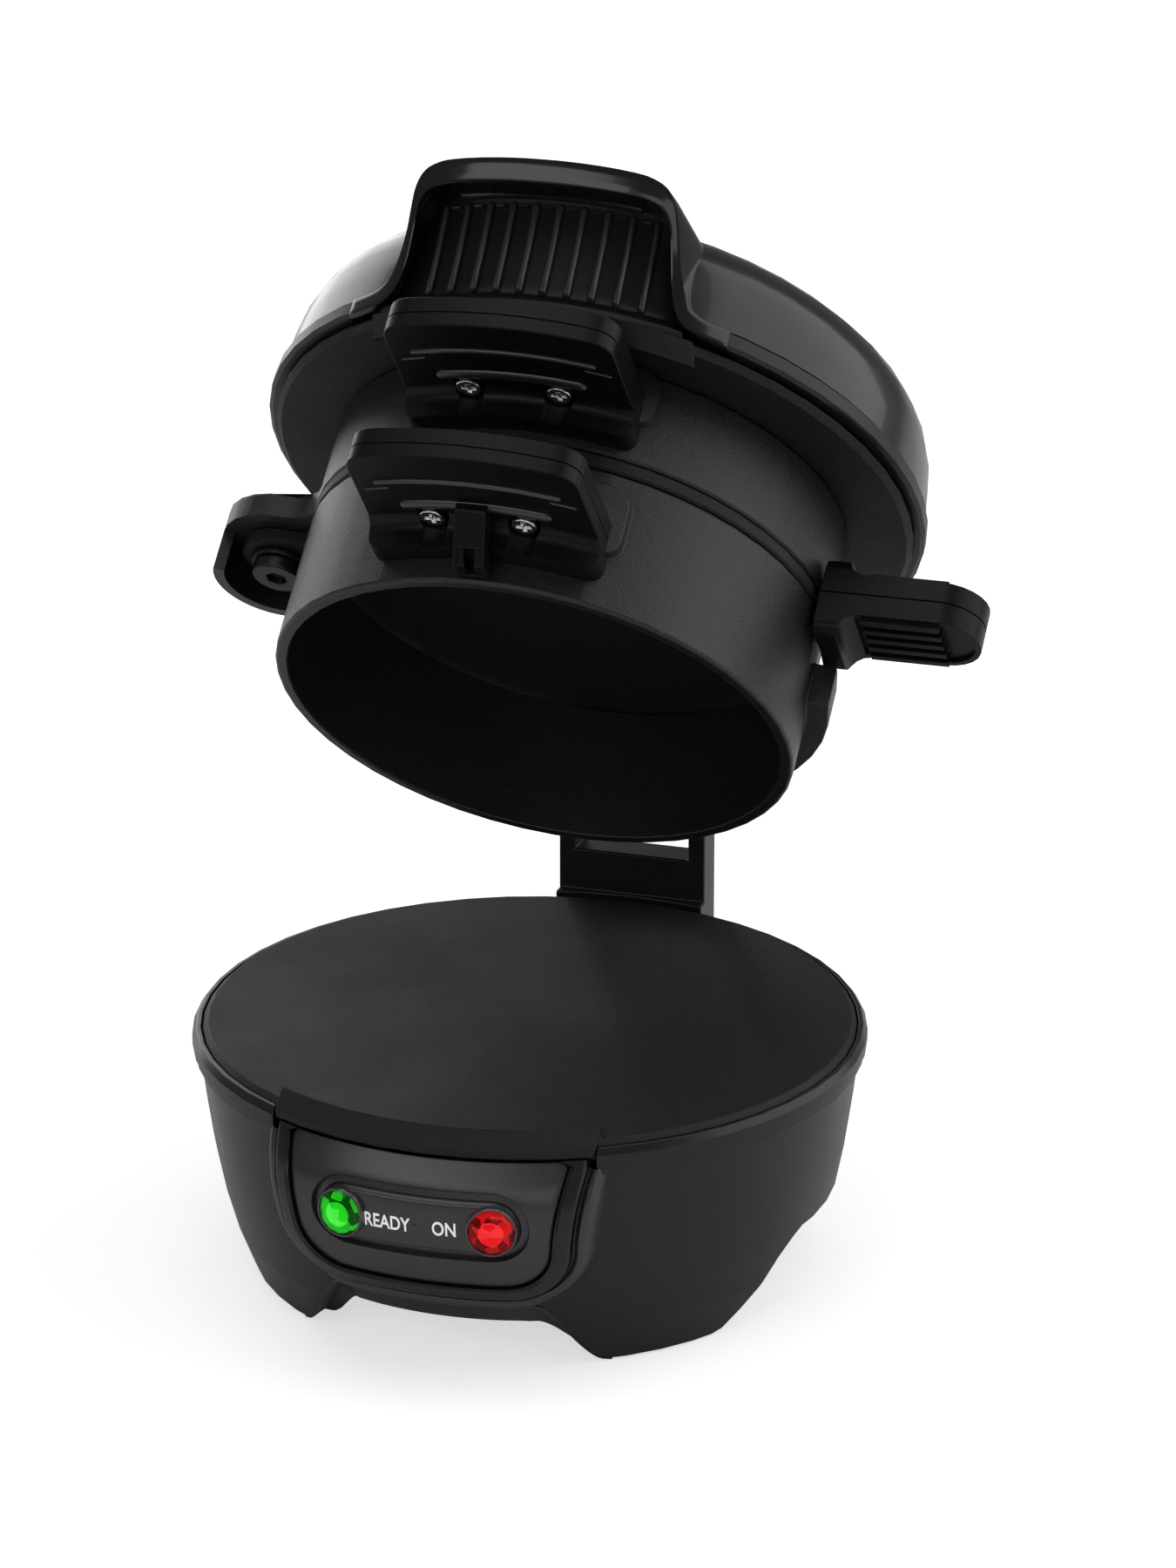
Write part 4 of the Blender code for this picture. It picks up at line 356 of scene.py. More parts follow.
# Lid handle, drawn closed: the front edges of its rim on the right half, as (x, height)
HOOD_OUTER = (
    (42.0, 64.3),
    (38.6, 64.35),
    (35.7, 64.9),
    (33.4, 66.7),
    (31.8, 70.4),
    (30.6, 75.2),
    (29.8, 80.2),
    (28.9, 83.8),
    (26.9, 86.6),
    (23.8, 87.8),
    (20.0, 88.1),
    (10.0, 88.0),
    (0.0, 87.9),
)
HOOD_INNER = (
    (42.0, 60.3),
    (37.8, 60.35),
    (33.9, 61.0),
    (31.2, 63.8),
    (29.5, 69.0),
    (28.6, 74.8),
    (28.0, 79.4),
    (26.8, 81.7),
    (24.9, 82.9),
    (22.0, 83.4),
    (19.0, 83.4),
    (9.8, 83.2),
    (0.0, 83.1),
)
# How far the rim reaches to the front, as (height, reach)
HOOD_REACH = (
    (58.0, 74.3),
    (64.3, 74.3),
    (67.0, 74.8),
    (71.0, 76.1),
    (77.0, 79.0),
    (82.0, 82.3),
    (85.0, 84.2),
    (87.6, 85.2),
    (89.0, 85.5),
)
# How far forward the hood's back and the pocket's back lie, the lid's radius, and half the width of the foot
HOOD_BACK = 50.0
POCKET_BACK = 64.0
LID_RADIUS = 74.3
FOOT_HALF = 41.9
# The round edges of the rim: how far they reach, and how far their corner is cut
RIM_EDGE = 0.5
RIM_CUT = 0.12


def mirrored(points):
    """A line over both halves, left to right, from its right half."""
    left = [(-point[0], point[1]) for point in points[:-1]]
    return left + [tuple(point) for point in reversed(points)]


def fall_back(across):
    """How far a point to the side lies behind the lid's front, because the lid is round."""
    return LID_RADIUS - math.sqrt(LID_RADIUS**2 - across**2)


def rim_row(front, inside):
    """Points across the rim: the hood's outside, a round edge, the rim's face, a round edge, the pocket."""
    face = (inside - front).normalized()
    back = Vector((0, 1, 0))
    lift = min(max((inside.z - 81) / 2, 0), 1)
    deep = max(-POCKET_BACK, inside.y + 4)
    return [
        Vector((front.x * 1.16, -HOOD_BACK, front.z)),
        front + back * 4 + Vector((front.x * 0.03, 0, 0)),
        front + back * RIM_EDGE,
        front + back * RIM_CUT + face * RIM_CUT,
        front + face * RIM_EDGE,
        front.lerp(inside, 0.35),
        front.lerp(inside, 0.65),
        inside - face * RIM_EDGE,
        inside + back * RIM_CUT - face * RIM_CUT,
        inside + back * RIM_EDGE,
        inside + back * 3 + Vector((0, 0, 1.2 * lift)),
        Vector((inside.x, deep, inside.z + 3.0 * lift)),
    ]


def make_hood():
    """The glossy hood: a rim that rises out of the lid's trim and follows a U, drawn back into the lid."""
    reach = smooth(HOOD_REACH)
    rows = []
    for outer, inner in zip(mirrored(smooth(HOOD_OUTER, 3)), mirrored(smooth(HOOD_INNER, 3))):
        points = []
        for across, height in (outer, inner):
            points.append(Vector((across, fall_back(across) - along(reach, height)[1], height)))
        rows.append(rim_row(*points))
    edit = bmesh.new()
    add_rows(edit, rows, caps=True)
    finish_piece("hood", meshed("hood", edit), "gloss_black", "lid", ("lid_handle",), closed=True)


# Finger wall in the hood, drawn closed, from its foot to its top, as (height, reach, half width)
WALL_LINE = (
    (59.0, 73.5, 33.6),
    (60.6, 73.2, 33.0),
    (62.2, 71.4, 32.2),
    (63.8, 70.4, 31.4),
    (68.0, 70.7, 30.3),
    (73.0, 71.3, 29.6),
    (78.0, 72.1, 28.9),
    (82.0, 73.0, 27.9),
    (84.4, 73.7, 26.2),
    (86.4, 74.6, 24.0),
)
WALL_STEPS = 24
# Upright ribs: how many, how far apart, half their width, how far they stand out, where they start and stop
RIB_COUNT = 10
RIB_PITCH = 5.24
RIB_HALF = 0.95
RIB_PROUD = 1.35
RIB_FOOT = 63.2
RIB_TOP = 84.4
# Short links between the ribs: their height, and how far from a rib's middle they start
LINK_HEIGHT = 83.4
LINK_GAP = 1.4
# Cross bar above the ribs: its height and half its length
CROSS_HEIGHT = 85.6
CROSS_HALF = 20.2
# Bars: the points of their section, and the least share of it that is left at their ends
BAR_SIDES = 12
BAR_END = 0.003


def capsule(edit, line, lateral, half_width, proud):
    """A bar with an oval section and round ends that follows a line."""
    rows = []
    count = len(line)
    length = (line[-1] - line[0]).length
    for index, point in enumerate(line):
        before = line[max(index - 1, 0)]
        after = line[min(index + 1, count - 1)]
        outward = lateral.cross(after - before).normalized()
        walked = (point - line[0]).length
        end = min(walked, length - walked) / half_width
        size = math.sqrt(max(1 - max(1 - end, 0) ** 2, BAR_END))
        row = []
        for side in range(BAR_SIDES):
            turn = math.tau * side / BAR_SIDES
            offset = lateral * half_width * math.cos(turn) + outward * proud * math.sin(turn)
            row.append(point + offset * size)
        rows.append(row)
    add_rows(edit, rows, caps=True)


def stepped(start, stop, half_width):
    """Values from start to stop, close together at both ends."""
    ends = [0.0, 0.04, 0.15, 0.4, 0.7, 1.0]
    span = stop - start
    first = [start + half_width * end for end in ends]
    middle = [start + span * share for share in (0.2, 0.35, 0.5, 0.65, 0.8)]
    last = [stop - half_width * end for end in reversed(ends)]
    return first + middle + last


def on_wall(wall, across, height):
    """A point on the finger wall."""
    return Vector((across, fall_back(across) - along(wall, height)[1], height))


def make_finger_wall(wall):
    """The curved wall behind the hood's opening."""
    edit = bmesh.new()
    rows = []
    for height, reach, half in wall:
        line = [half * (2 * step / WALL_STEPS - 1) for step in range(WALL_STEPS + 1)]
        front = [(across, fall_back(across) - reach, height) for across in line]
        rows.append(front + [(across, depth + 1, height) for across, depth, height in reversed(front)])
    add_rows(edit, rows, caps=True)
    mesh = meshed("finger_wall", edit)
    finish_piece("finger_wall", mesh, "tab_black", "lid", ("lid_grip_insert",), closed=True)


def make_finger_ribs(wall):
    """Ten upright ribs on the finger wall, short links between them, and a cross bar above them."""
    edit = bmesh.new()
    for index in range(RIB_COUNT):
        across = (index - (RIB_COUNT - 1) / 2) * RIB_PITCH
        line = [on_wall(wall, across, height) for height in stepped(RIB_FOOT, RIB_TOP, RIB_HALF)]
        capsule(edit, line, Vector((1, 0, 0)), RIB_HALF, RIB_PROUD)
        if index:
            steps = stepped(LINK_GAP, RIB_PITCH - LINK_GAP, 0.35)
            line = [on_wall(wall, across - step, LINK_HEIGHT) for step in steps]
            capsule(edit, line, Vector((0, 0.3, -0.95)), 0.45, 1.1)
    line = [on_wall(wall, across, CROSS_HEIGHT) for across in stepped(-CROSS_HALF, CROSS_HALF, 0.7)]
    capsule(edit, line, Vector((0, -0.3, 0.95)), 0.75, 1.9)
    # Ribs in the lighter black, as painted highlight
    finish_piece("finger_ribs", meshed("finger_ribs", edit), "painted_highlight_black", "lid", closed=True)


def reshape(obj, closed=True):
    """A piece's mesh to be edited, in the place where it is drawn."""
    edit = bmesh.new()
    edit.from_mesh(obj.data)
    if closed:
        bmesh.ops.transform(edit, matrix=OPEN.inverted(), verts=edit.verts[:])
    return edit


def put_back(edit, obj, closed=True):
    """Gives an edited mesh back to its piece, opened again."""
    if closed:
        bmesh.ops.transform(edit, matrix=OPEN, verts=edit.verts[:])
    edit.to_mesh(obj.data)
    edit.free()


# Base: its top, its height, its radius at the top, and how far it falls in, evenly and at the foot
HOUSING_TOP = -7
HOUSING_HEIGHT = 49
HOUSING_RADIUS = 72.6
HOUSING_SLOPE = 5.44
HOUSING_CURVE = 5.6
# Only what lies in front of this distance from the middle is opened
FRONT = 54.0


def housing_radius(height):
    """The radius of the base's outside at a height."""
    share = (HOUSING_TOP - height) / HOUSING_HEIGHT
    return HOUSING_RADIUS - HOUSING_SLOPE * share - HOUSING_CURVE * share**3


def split(edit, half, low, high):
    """Cuts a mesh at both sides and at two heights."""
    side = (1, 0, 0)
    up = (0, 0, 1)
    cuts = (((half, 0, 0), side), ((-half, 0, 0), side), ((0, 0, low), up), ((0, 0, high), up))
    for place, normal in cuts:
        every = edit.verts[:] + edit.edges[:] + edit.faces[:]
        bmesh.ops.bisect_plane(edit, geom=every, plane_co=Vector(place) * MM, plane_no=normal)


def opened_front(node_name, look, bevel, half, low, high, closed=True, skin=0.0):
    """A CAD node's copy, opened between two heights for another piece. Its outer skin can stay."""
    obj = dressed(node_name, look, bevel)
    edit = reshape(obj, closed)
    split(edit, half, low, high)
    gone = []
    for face in edit.faces:
        middle = face.calc_center_median() / MM
        inside = abs(middle.x) < half and middle.y < -FRONT and low < middle.z < high
        if inside and not (skin and middle.xy.length > housing_radius(middle.z) - skin):
            gone.append(face)
    bmesh.ops.delete(edit, geom=gone, context="FACES")
    put_back(edit, obj, closed)


# Tab handles, drawn closed: how far out they reach and begin, and the height of their lower faces
TAB_REACH = 88.0
TAB_ROOT = 67.0
TAB_FACES = {"lower": 11.8, "upper": 43.8}
# How far below the face the solids' own bars end, at least and at most
TAB_BAR_LEAST = 0.2
TAB_BAR_MOST = 0.7
# Each bar as (inset from the front, middle, half length, half width, how far it stands out)
TAB_BARS = (
    (9.4, 0.0, 20.4, 0.6, 0.75),
    (18.6, 0.0, 16.6, 1.35, 0.9),
    (12.0, -20.3, 2.8, 0.3, 0.35),
    (12.0, 20.3, 2.8, 0.3, 0.35),
)


def make_tab_face(prefix):
    """A tab's lower half with its bars levelled and drawn again with round edges."""
    face = TAB_FACES[prefix]
    obj = dressed(prefix + "_tab_underside", "tab_black", 0.0003)
    edit = reshape(obj)
    for point in edit.verts:
        outside = math.hypot(point.co.x, point.co.y) > TAB_ROOT * MM
        if outside and face - TAB_BAR_MOST < point.co.z / MM < face - TAB_BAR_LEAST:
            point.co.z = face * MM
    bmesh.ops.remove_doubles(edit, verts=edit.verts[:], dist=MERGE)
    put_back(edit, obj)
    edit = bmesh.new()
    for inset, middle, half, half_width, proud in TAB_BARS:
        radius = TAB_REACH - inset
        line = []
        for across in stepped(middle - half, middle + half, half_width):
            line.append(Vector((across, -math.sqrt(radius**2 - across**2), face)))
        capsule(edit, line, Vector((0, 1, 0)), half_width, proud)
    body = frame["nodes"][prefix + "_tab_underside"]["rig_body"]
    # Bars in the lighter black, as painted highlight
    finish_piece(prefix + "_tab_bars", meshed(prefix + "_tab_bars", edit), "painted_highlight_black", body, closed=True)


# Side walls inside the lower ring's clip, drawn closed: their near and far sides, their back,
# and their front as (height, reach)
CLIP_SIDES = (1.15, 2.7)
CLIP_BACK = 59.5
CLIP_FRONT = ((0.95, 63.1), (4.15, 65.9))


def make_clip_walls():
    """Thick side walls that leave a narrow slot in the clip."""
    near, far = CLIP_SIDES
    edit = bmesh.new()
    for side in (-1, 1):
        rows = []
        for height, front in CLIP_FRONT:
            flat = ((near, -CLIP_BACK), (far, -CLIP_BACK), (far, -front), (near, -front))
            rows.append([(side * across, depth, height) for across, depth in flat])
        add_rows(edit, rows, caps=True)
    body = frame["nodes"]["ring_clip"]["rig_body"]
    finish_piece("clip_walls", meshed("clip_walls", edit), "tab_black", body, bevel=0.0002, closed=True)


# Control panel: its face as (height, reach)
PANEL_FACE = (
    (-3.3, 73.9),
    (-5.6, 75.2),
    (-9.0, 77.2),
    (-12.5, 78.4),
    (-17.0, 78.7),
    (-22.5, 77.7),
    (-28.0, 75.9),
    (-32.8, 73.9),
    (-36.6, 71.7),
)
# The frame's outline, and half the length and half the height of the groove round the lights
PANEL_MIDDLE = -17.4
PANEL_TOP = -3.3
PANEL_BOTTOM = -36.2
PANEL_TOP_HALF = 34.6
PANEL_HALF = 31.9
PANEL_CORNER = 14.5
STADIUM_HALF = (24.2, 8.0)
PANEL_RAYS = 120
# Sections of the frame, the face's edge and the groove, as (inset from the outline, depth below the face)
FRAME_SECTION = (
    (3.55, 2.6),
    (3.5, 0.7),
    (3.35, 0.25),
    (3.0, 0.0),
    (2.6, -0.4),
    (1.3, -0.15),
    (0.55, -0.05),
    (0.2, 0.1),
    (0.05, 0.35),
    (0.0, 0.8),
    (-0.1, 3.2),
)
FACE_EDGE = ((3.75, 2.6), (3.8, 1.35), (3.95, 0.95), (4.35, 0.8))
GROOVE = ((0.0, 0.85), (0.2, 1.1), (0.5, 2.0), (1.9, 2.0), (2.4, 1.1), (2.65, 0.85), (3.2, 0.8))
FACE_SUNK = 0.8
TINY = 1e-9


def arc(centre, radius, start, stop, steps):
    """Points along a part of a circle."""
    turns = [start + (stop - start) * step / steps for step in range(steps + 1)]
    return [(centre[0] + radius * math.cos(turn), centre[1] + radius * math.sin(turn)) for turn in turns]


def frame_outline(inset):
    """The panel's outline from its top left corner down and round to its top right corner."""
    half = PANEL_HALF - inset
    low = PANEL_BOTTOM + inset
    corner = max(PANEL_CORNER - inset, 1.0)
    left = arc((-half + corner, low + corner), corner, math.pi, math.pi * 1.5, 10)
    right = arc((half - corner, low + corner), corner, -math.pi / 2, 0, 10)
    top = PANEL_TOP_HALF - inset
    return [(-top, PANEL_TOP)] + left + right + [(top, PANEL_TOP)]


def stadium_outline(inset):
    """The outline of the groove round the lights: two half circles and two straight runs."""
    half, radius = STADIUM_HALF
    run = half - radius
    radius -= inset
    right = arc((run, PANEL_MIDDLE), radius, -math.pi / 2, math.pi / 2, 16)
    left = arc((-run, PANEL_MIDDLE), radius, math.pi / 2, math.pi * 1.5, 16)
    return right + left


def ray_hits(outline):
    """Where rays from the panel's middle meet an outline."""
    hits = []
    for index in range(PANEL_RAYS):
        turn = math.tau * (index + 0.5) / PANEL_RAYS
        ray = Vector((math.cos(turn), math.sin(turn)))
        for first, second in zip(outline, outline[1:] + outline[:1]):
            start = Vector(first) - Vector((0, PANEL_MIDDLE))
            edge = Vector(second) - Vector(first)
            cross = ray.x * edge.y - ray.y * edge.x
            if abs(cross) < TINY:
                continue
            reach = (start.x * edge.y - start.y * edge.x) / cross
            share = (start.x * ray.y - start.y * ray.x) / cross
            if reach > 0 and -TINY <= share <= 1 + TINY:
                hits.append(Vector((0, PANEL_MIDDLE)) + ray * reach)
                break
    return hits


def on_face(points, sunk, face):
    """Lays flat points on the panel's face, sunk by a depth."""
    laid = []
    for across, height in points:
        reach = along(face, height)[1] - sunk
        laid.append((across, -math.sqrt(max(reach**2 - across**2, 1)), height))
    return laid


def loops(outline, section, face):
    """Loops round the panel's middle that follow an outline at each inset and depth of a section."""
    return [on_face(ray_hits(outline(inset)), sunk, face) for inset, sunk in section]


def make_panel_rim(face):
    """The raised frame round the panel."""
    edit = bmesh.new()
    add_rows(edit, loops(frame_outline, FRAME_SECTION, face))
    finish_piece("panel_rim", meshed("panel_rim", edit), "base_black", "base", ("panel_frame",))


def make_panel_face(face):
    """The panel's face, with the groove round the lights."""
    edit = bmesh.new()
    rows = loops(frame_outline, FACE_EDGE, face)
    outer = ray_hits(frame_outline(FACE_EDGE[-1][0]))
    inner = ray_hits(stadium_outline(GROOVE[0][0]))
    for share in (0.15, 0.4, 0.7, 0.93):
        between = [first.lerp(second, share) for first, second in zip(outer, inner)]
        rows.append(on_face(between, FACE_SUNK, face))
    rows += loops(stadium_outline, GROOVE, face)
    middle = ray_hits(stadium_outline(GROOVE[-1][0]))
    for share in (0.5, 0.98):
        closer = [point.lerp(Vector((0, PANEL_MIDDLE)), share) for point in middle]
        rows.append(on_face(closer, FACE_SUNK, face))
    add_rows(edit, rows)
    # The face in the lighter black, as painted highlight
    finish_piece("panel_face", meshed("panel_face", edit), "painted_highlight_black", "base", ("control_panel",))


def make_panel():
    """The whole panel: frame, face, two lamps, their words, and the housing's ridge round it."""
    face = smooth(PANEL_FACE)
    make_panel_rim(face)
    make_panel_face(face)
    make_lamp(-LAMP_ACROSS, "green", "ready_light", face)
    make_lamp(LAMP_ACROSS, "red", "power_light", face)
    make_words(face)
    make_panel_ridge(face)


# Lamps: how far from the middle they stand
LAMP_ACROSS = 16.6
# Their turned parts, as (name, sides, turn in shares of a side, profile as (radius, height))
LAMP_PARTS = (
    ("bezel", 48, 0, ((5.55, -1.0), (5.55, 0.75), (5.35, 1.05), (5.05, 1.05), (4.85, 0.6))),
    ("facets", 12, 0, ((4.9, -0.8), (4.9, 0.8), (4.3, 1.5), (3.1, 1.95), (2.7, 1.7))),
    ("middle", 48, 0.5, ((2.75, 0.9), (2.75, 1.8), (2.5, 2.0), (1.3, 2.2), (0.05, 2.25))),
)


def turned(name, sides, shift, profile):
    """A mesh turned round an upright line, closed at both ends."""
    edit = bmesh.new()
    rows = []
    for radius, height in profile:
        turns = [math.tau * (index + shift) / sides for index in range(sides)]
        rows.append([(radius * math.cos(turn), radius * math.sin(turn), height) for turn in turns])
    add_rows(edit, rows, caps=True)
    return meshed(name, edit)


def make_lamp(across, colour, node_name, face):
    """A cut lens in a thin bezel: twelve facets round a flat middle."""
    reach = along(face, PANEL_MIDDLE)[1] - FACE_SUNK
    turn = math.asin(across / reach)
    stand = Matrix.Rotation(turn, 4, "Z") @ Matrix.Translation((0, -reach * MM, PANEL_MIDDLE * MM))
    stand = stand @ Matrix.Rotation(math.pi / 2, 4, "X")
    looks = {"bezel": "bezel", "facets": colour + "_lens", "middle": colour + "_glow"}
    for part, sides, shift, profile in LAMP_PARTS:
        name = colour + "_" + part
        mesh = turned(name, sides, shift, profile)
        mesh.transform(stand)
        stands_for = (node_name,) if part == "facets" else ()
        lamp = finish_piece(name, mesh, looks[part], "base", stands_for)
        if part == "facets":
            lamp.data.shade_flat()


# Words, as (text, distance from the middle), their size and weight, and how they lie on the panel
WORDS = (("READY", -6.1), ("ON", 6.6))
WORD_SIZE = 4.5
WORD_WEIGHT = 0.05
WORD_DEPTH = 0.06
WORD_NARROWED = 0.74
WORD_LOWERED = 0.5
WORD_SUNK = 0.78


def make_words(face):
    """Plain words for the two lamps, laid on the panel."""
    for word, middle in WORDS:
        curve = bpy.data.curves.new(word, "FONT")
        curve.body = word
        curve.size = WORD_SIZE
        curve.offset = WORD_WEIGHT
        curve.align_x = "CENTER"
        curve.align_y = "CENTER"
        curve.extrude = WORD_DEPTH
        written = bpy.data.objects.new(word, curve)
        bpy.context.scene.collection.objects.link(written)
        bpy.context.view_layer.update()
        solid = written.evaluated_get(bpy.context.evaluated_depsgraph_get())
        mesh = bpy.data.meshes.new_from_object(solid)
        bpy.data.objects.remove(written)
        bpy.data.curves.remove(curve)
        for point in mesh.vertices:
            across = point.co.x * WORD_NARROWED + middle
            height = point.co.y + PANEL_MIDDLE - WORD_LOWERED
            laid = on_face([(across, height)], WORD_SUNK - point.co.z, face)[0]
            point.co = Vector(laid) * MM
        finish_piece("word_" + word.lower(), mesh, "marking", "base")


# Ridge round the panel's frame, as (distance outside the frame, how far it lies behind the panel's face)
RIDGE = (
    (-0.05, 2.3),
    (0.35, 2.4),
    (0.8, 1.75),
    (1.3, 1.4),
    (1.9, 1.4),
    (2.5, 1.75),
    (3.0, 2.6),
    (3.4, 4.0),
    (3.9, 6.0),
    (4.3, 9.5),
)
RIDGE_TOP = -5.6


def ridge_path(outset):
    """A line round the sides and the foot of the panel, outside its frame."""
    half = PANEL_HALF + outset
    low = PANEL_BOTTOM - outset
    corner = PANEL_CORNER + outset
    start = low + corner
    side = []
    for step in range(8):
        height = RIDGE_TOP + (start - RIDGE_TOP) * step / 8
        spread = (PANEL_TOP_HALF - PANEL_HALF) * (height - start) / (PANEL_TOP - start)
        side.append((half + spread, height))
    bend = arc((half - corner, start), corner, 0, -math.pi / 2, 10)
    run = [((half - corner) * (1 - step / 10), low) for step in range(1, 10)]
    right = side + bend + run
    return right + [(0, low)] + [(-across, height) for across, height in reversed(right)]


def make_panel_ridge(face):
    """The housing's soft ridge that follows the frame at a groove's distance."""
    edit = bmesh.new()
    add_rows(edit, [on_face(ridge_path(outset), sunk, face) for outset, sunk in RIDGE], wrap=False)
    # The ridge in the lighter black, as painted highlight
    finish_piece("panel_ridge", meshed("panel_ridge", edit), "painted_highlight_black", "base")


# Front arch, right half, as (x and height of the housing's edge, x and height of the skirt's edge, depth)
ARCH_LINES = (
    (34.9, -55.8, 34.4, -55.8, 6.0),
    (32.7, -54.9, 30.8, -55.7, 6.0),
    (30.5, -51.8, 28.0, -54.4, 6.0),
    (28.2, -47.6, 25.4, -51.4, 6.0),
    (26.0, -43.4, 22.9, -48.4, 5.6),
    (23.8, -40.3, 20.8, -46.4, 4.6),
    (21.5, -39.3, 19.2, -45.6, 3.4),
    (19.6, -39.1, 17.6, -45.1, 2.8),
    (14.0, -39.1, 12.6, -45.0, 2.6),
    (7.0, -39.1, 6.3, -45.0, 2.6),
    (0.0, -39.1, 0.0, -45.0, 2.6),
)
# The skirt's section, as (share of the way between the edges, share of the depth)
ARCH_SECTION = (
    (-0.02, 0.10),
    (0.0, 0.0),
    (0.05, 0.01),
    (0.12, 0.10),
    (0.22, 0.42),
    (0.40, 0.84),
    (0.80, 0.95),
    (0.93, 1.0),
    (1.0, 1.15),
    (1.0, 1.8),
)


def make_arch_skirt():
    """The recessed skirt between the front feet, and the flanks that lead back to it."""
    sides = [(-1, place) for place in ARCH_LINES[:-1]] + [(1, place) for place in reversed(ARCH_LINES)]
    rows = []
    for share, sunk in ARCH_SECTION:
        row = []
        for side, (edge_x, edge_z, skirt_x, skirt_z, depth) in sides:
            across = edge_x + (skirt_x - edge_x) * share
            height = edge_z + (skirt_z - edge_z) * share
            radius = housing_radius(height) - depth * sunk
            row.append(Vector((side * across, -math.sqrt(radius**2 - across**2), height)))
        rows.append(smooth(row, 3))
    edit = bmesh.new()
    add_rows(edit, rows, wrap=False)
    # The skirt in the lighter black, as painted highlight
    finish_piece("front_skirt", meshed("front_skirt", edit), "painted_highlight_black", "base")


# Nodes that are shown as their solids with softened edges, with their look and their bevel
PLAIN = {
    "base_trim_ring": ("base_black", 0.0002),
    "bottom_cover": ("satin_black", 0.0002),
    "cord_gland": ("rubber", 0.0002),
    "cover_screw_1": ("dark_steel", 0.0002),
    "cover_screw_2": ("dark_steel", 0.0002),
    "cover_screw_3": ("dark_steel", 0.0002),
    "foot_pad_front_left": ("rubber", 0.0002),
    "foot_pad_front_right": ("rubber", 0.0002),
    "foot_pad_rear_left": ("rubber", 0.0002),
    "foot_pad_rear_right": ("rubber", 0.0002),
    "hinge_bracket": ("satin_black", 0.0004),
    "hinge_pin": ("steel", 0.0003),
    "lower_heating_element": ("heater", 0.0),
    "lower_heating_plate": ("nonstick", 0.0002),
    "lower_thermostat": ("ceramic", 0.0003),
    "lower_ring": ("ring_black", 0.0003),
    "lower_tab_top": ("tab_black", 0.0003),
    "lower_tab_screw_left": ("steel", 0.0002),
    "lower_tab_screw_right": ("steel", 0.0002),
    "ring_clip": ("tab_black", 0.0003),
    "upper_ring": ("ring_black", 0.0003),
    "upper_tab_top": ("tab_black", 0.0003),
    "upper_tab_screw_left": ("steel", 0.0002),
    "upper_tab_screw_right": ("steel", 0.0002),
    "pivot_washer": ("dark_steel", 0.0002),
    "plate_pivot_bolt": ("dark_steel", 0.0002),
    "egg_plate": ("nonstick", 0.0002),
    "plate_handle_bottom": ("tab_black", 0.0004),
    "plate_handle_top": ("tab_black", 0.0004),
    "upper_heating_plate": ("nonstick", 0.0),
    "upper_heating_element": ("heater", 0.0),
    "upper_thermostat": ("ceramic", 0.0003),
    "lid_hinge_arm": ("satin_black", 0.0004),
}


# Studio


def make_camera():
    """The photograph's view, fitted to the round edges of the base, the rings and the lid."""
    target = Vector((0.01339, 0.0, 0.05494))
    azimuth = math.radians(17.70)
    elevation = math.radians(20.04)
    distance = 1.2035
    away = Vector(
        (
            math.sin(azimuth) * math.cos(elevation),
            -math.cos(azimuth) * math.cos(elevation),
            math.sin(elevation),
        )
    )
    data = bpy.data.cameras.new("camera")
    data.lens = 127.88
    data.sensor_width = 36
    camera = bpy.data.objects.new("camera", data)
    bpy.context.scene.collection.objects.link(camera)
    camera.location = target + away * distance
    camera.rotation_euler = (-away).to_track_quat("-Z", "Y").to_euler()
    bpy.context.scene.camera = camera


def softbox(name, place, aim, width, height, brightness):
    """A flat lamp whose face is as bright as asked, whatever its size."""
    data = bpy.data.lights.new(name, "AREA")
    data.shape = "RECTANGLE"
    data.size = width
    data.size_y = height
    data.energy = math.pi * width * height * brightness
    light = bpy.data.objects.new(name, data)
    bpy.context.scene.collection.objects.link(light)
    light.location = place
    light.rotation_euler = (Vector(aim) - Vector(place)).to_track_quat("-Z", "Y").to_euler()


def make_world():
    """A dim grey room that the camera sees as white."""
    world = bpy.data.worlds.new("studio")
    bpy.context.scene.world = world
    world.use_nodes = True
    tree = world.node_tree
    background = tree.nodes["Background"]
    background.inputs["Color"].default_value = (0.16, 0.16, 0.16, 1)
    white = node(tree, "ShaderNodeBackground")
    white.inputs["Color"].default_value = (1, 1, 1, 1)
    seen_by_camera(tree, background.outputs["Background"], white.outputs["Background"], "World Output")


def seen_by_camera(tree, unseen, seen, end):
    """Shows one shader to the camera and lets the other light the scene."""
    rays = node(tree, "ShaderNodeLightPath")
    either = node(tree, "ShaderNodeMixShader")
    tree.links.new(rays.outputs["Is Camera Ray"], either.inputs["Fac"])
    tree.links.new(unseen, either.inputs[1])
    tree.links.new(seen, either.inputs[2])
    tree.links.new(either.outputs["Shader"], tree.nodes[end].inputs["Surface"])


FLOOR_HALF = 6.0
FLOOR_COLOUR = (0.9, 0.9, 0.9, 1)
FLOOR_GLOW = 0.62


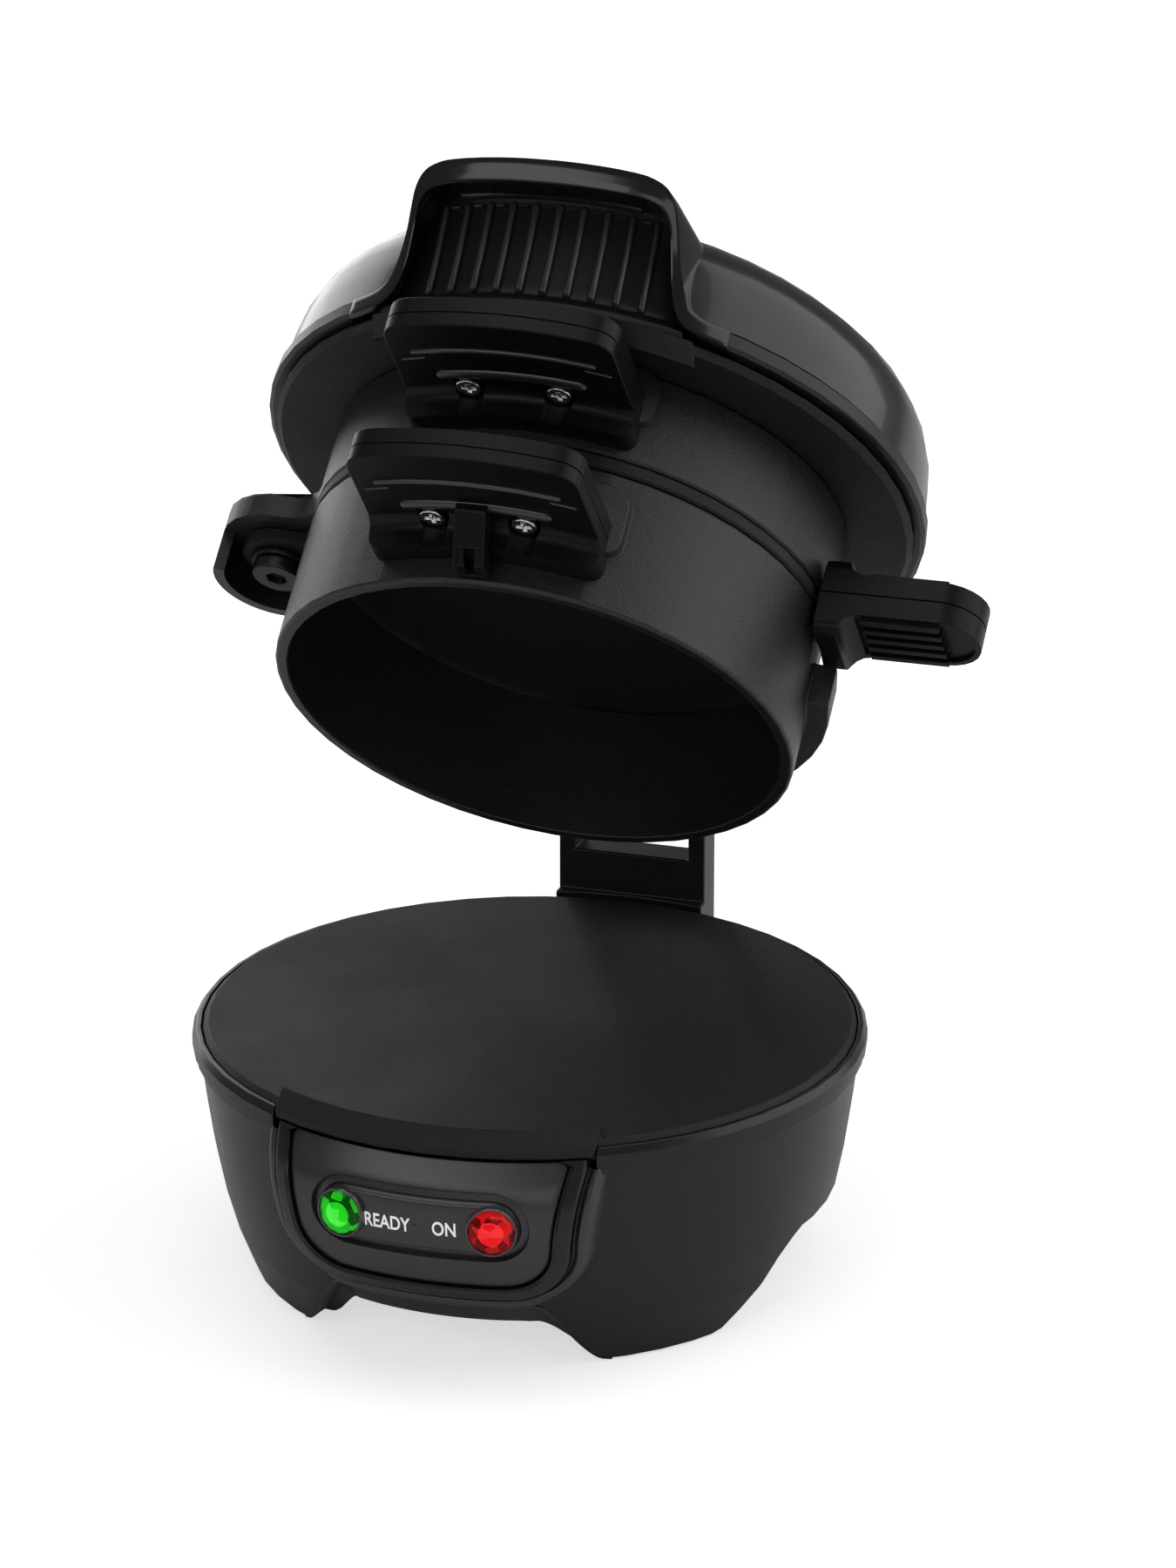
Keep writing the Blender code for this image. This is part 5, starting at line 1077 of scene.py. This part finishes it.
def make_floor():
    """A pale floor with a glow that only the camera sees, so that it darkens in shadow alone."""
    edit = bmesh.new()
    bmesh.ops.create_grid(edit, x_segments=1, y_segments=1, size=FLOOR_HALF)
    mesh = bpy.data.meshes.new("floor")
    edit.to_mesh(mesh)
    edit.free()
    floor = bpy.data.objects.new("floor", mesh)
    floor.location = (0, 0, FLOOR)
    bpy.context.scene.collection.objects.link(floor)
    paint = bpy.data.materials.new("pale floor")
    paint.use_nodes = True
    tree = paint.node_tree
    tree.nodes.remove(tree.nodes["Principled BSDF"])
    lit = node(tree, "ShaderNodeBsdfDiffuse")
    lit.inputs["Color"].default_value = FLOOR_COLOUR
    glow = node(tree, "ShaderNodeEmission")
    glow.inputs["Strength"].default_value = FLOOR_GLOW
    both = node(tree, "ShaderNodeAddShader")
    tree.links.new(lit.outputs["BSDF"], both.inputs[0])
    tree.links.new(glow.outputs["Emission"], both.inputs[1])
    seen_by_camera(tree, lit.outputs["BSDF"], both.outputs["Shader"], "Material Output")
    mesh.materials.append(paint)


# Lamps of the studio, as (name, place, what it is aimed at, width, height, brightness)
STUDIO_LAMPS = (
    ("overhead", (-0.10, 0.10, 1.45), (0, 0, 0.05), 1.3, 1.0, 1.15),
    ("front", (-0.46, -1.40, 0.86), (0, 0, 0.15), 1.6, 0.55, 1.25),
    ("left back", (-0.95, 1.00, 0.20), (0, 0, 0.07), 1.0, 1.2, 1.7),
    ("right back", (1.15, 0.60, 0.85), (0, 0, 0.08), 1.7, 1.6, 1.1),
    ("front right", (0.62, -1.30, 0.50), (0, 0, 0.12), 0.6, 0.5, 0.9),
    ("right low", (1.35, -0.35, 0.25), (0, 0, 0.02), 0.5, 0.9, 0.7),
)


def make_studio():
    make_world()
    make_floor()
    for lamp in STUDIO_LAMPS:
        softbox(*lamp)
    bpy.context.scene.view_settings.view_transform = "Standard"


make_camera()
make_studio()
for plain_node, (plain_look, plain_bevel) in PLAIN.items():
    dressed(plain_node, plain_look, plain_bevel)
opened_front("lid_shell", "lid_black", 0.0, half=30.0, low=60.0, high=86.5)
opened_front("lid_trim_ring", "satin_black", 0.0002, half=FOOT_HALF, low=58.0, high=66.0)
opened_front("base_shell", "base_black", 0.0006, half=27.2, low=-45.6, high=-39.0, closed=False, skin=0.5)
make_hood()
wall_line = smooth(WALL_LINE)
make_finger_wall(wall_line)
make_finger_ribs(wall_line)
make_tab_face("lower")
make_tab_face("upper")
make_clip_walls()
make_panel()
make_arch_skirt()
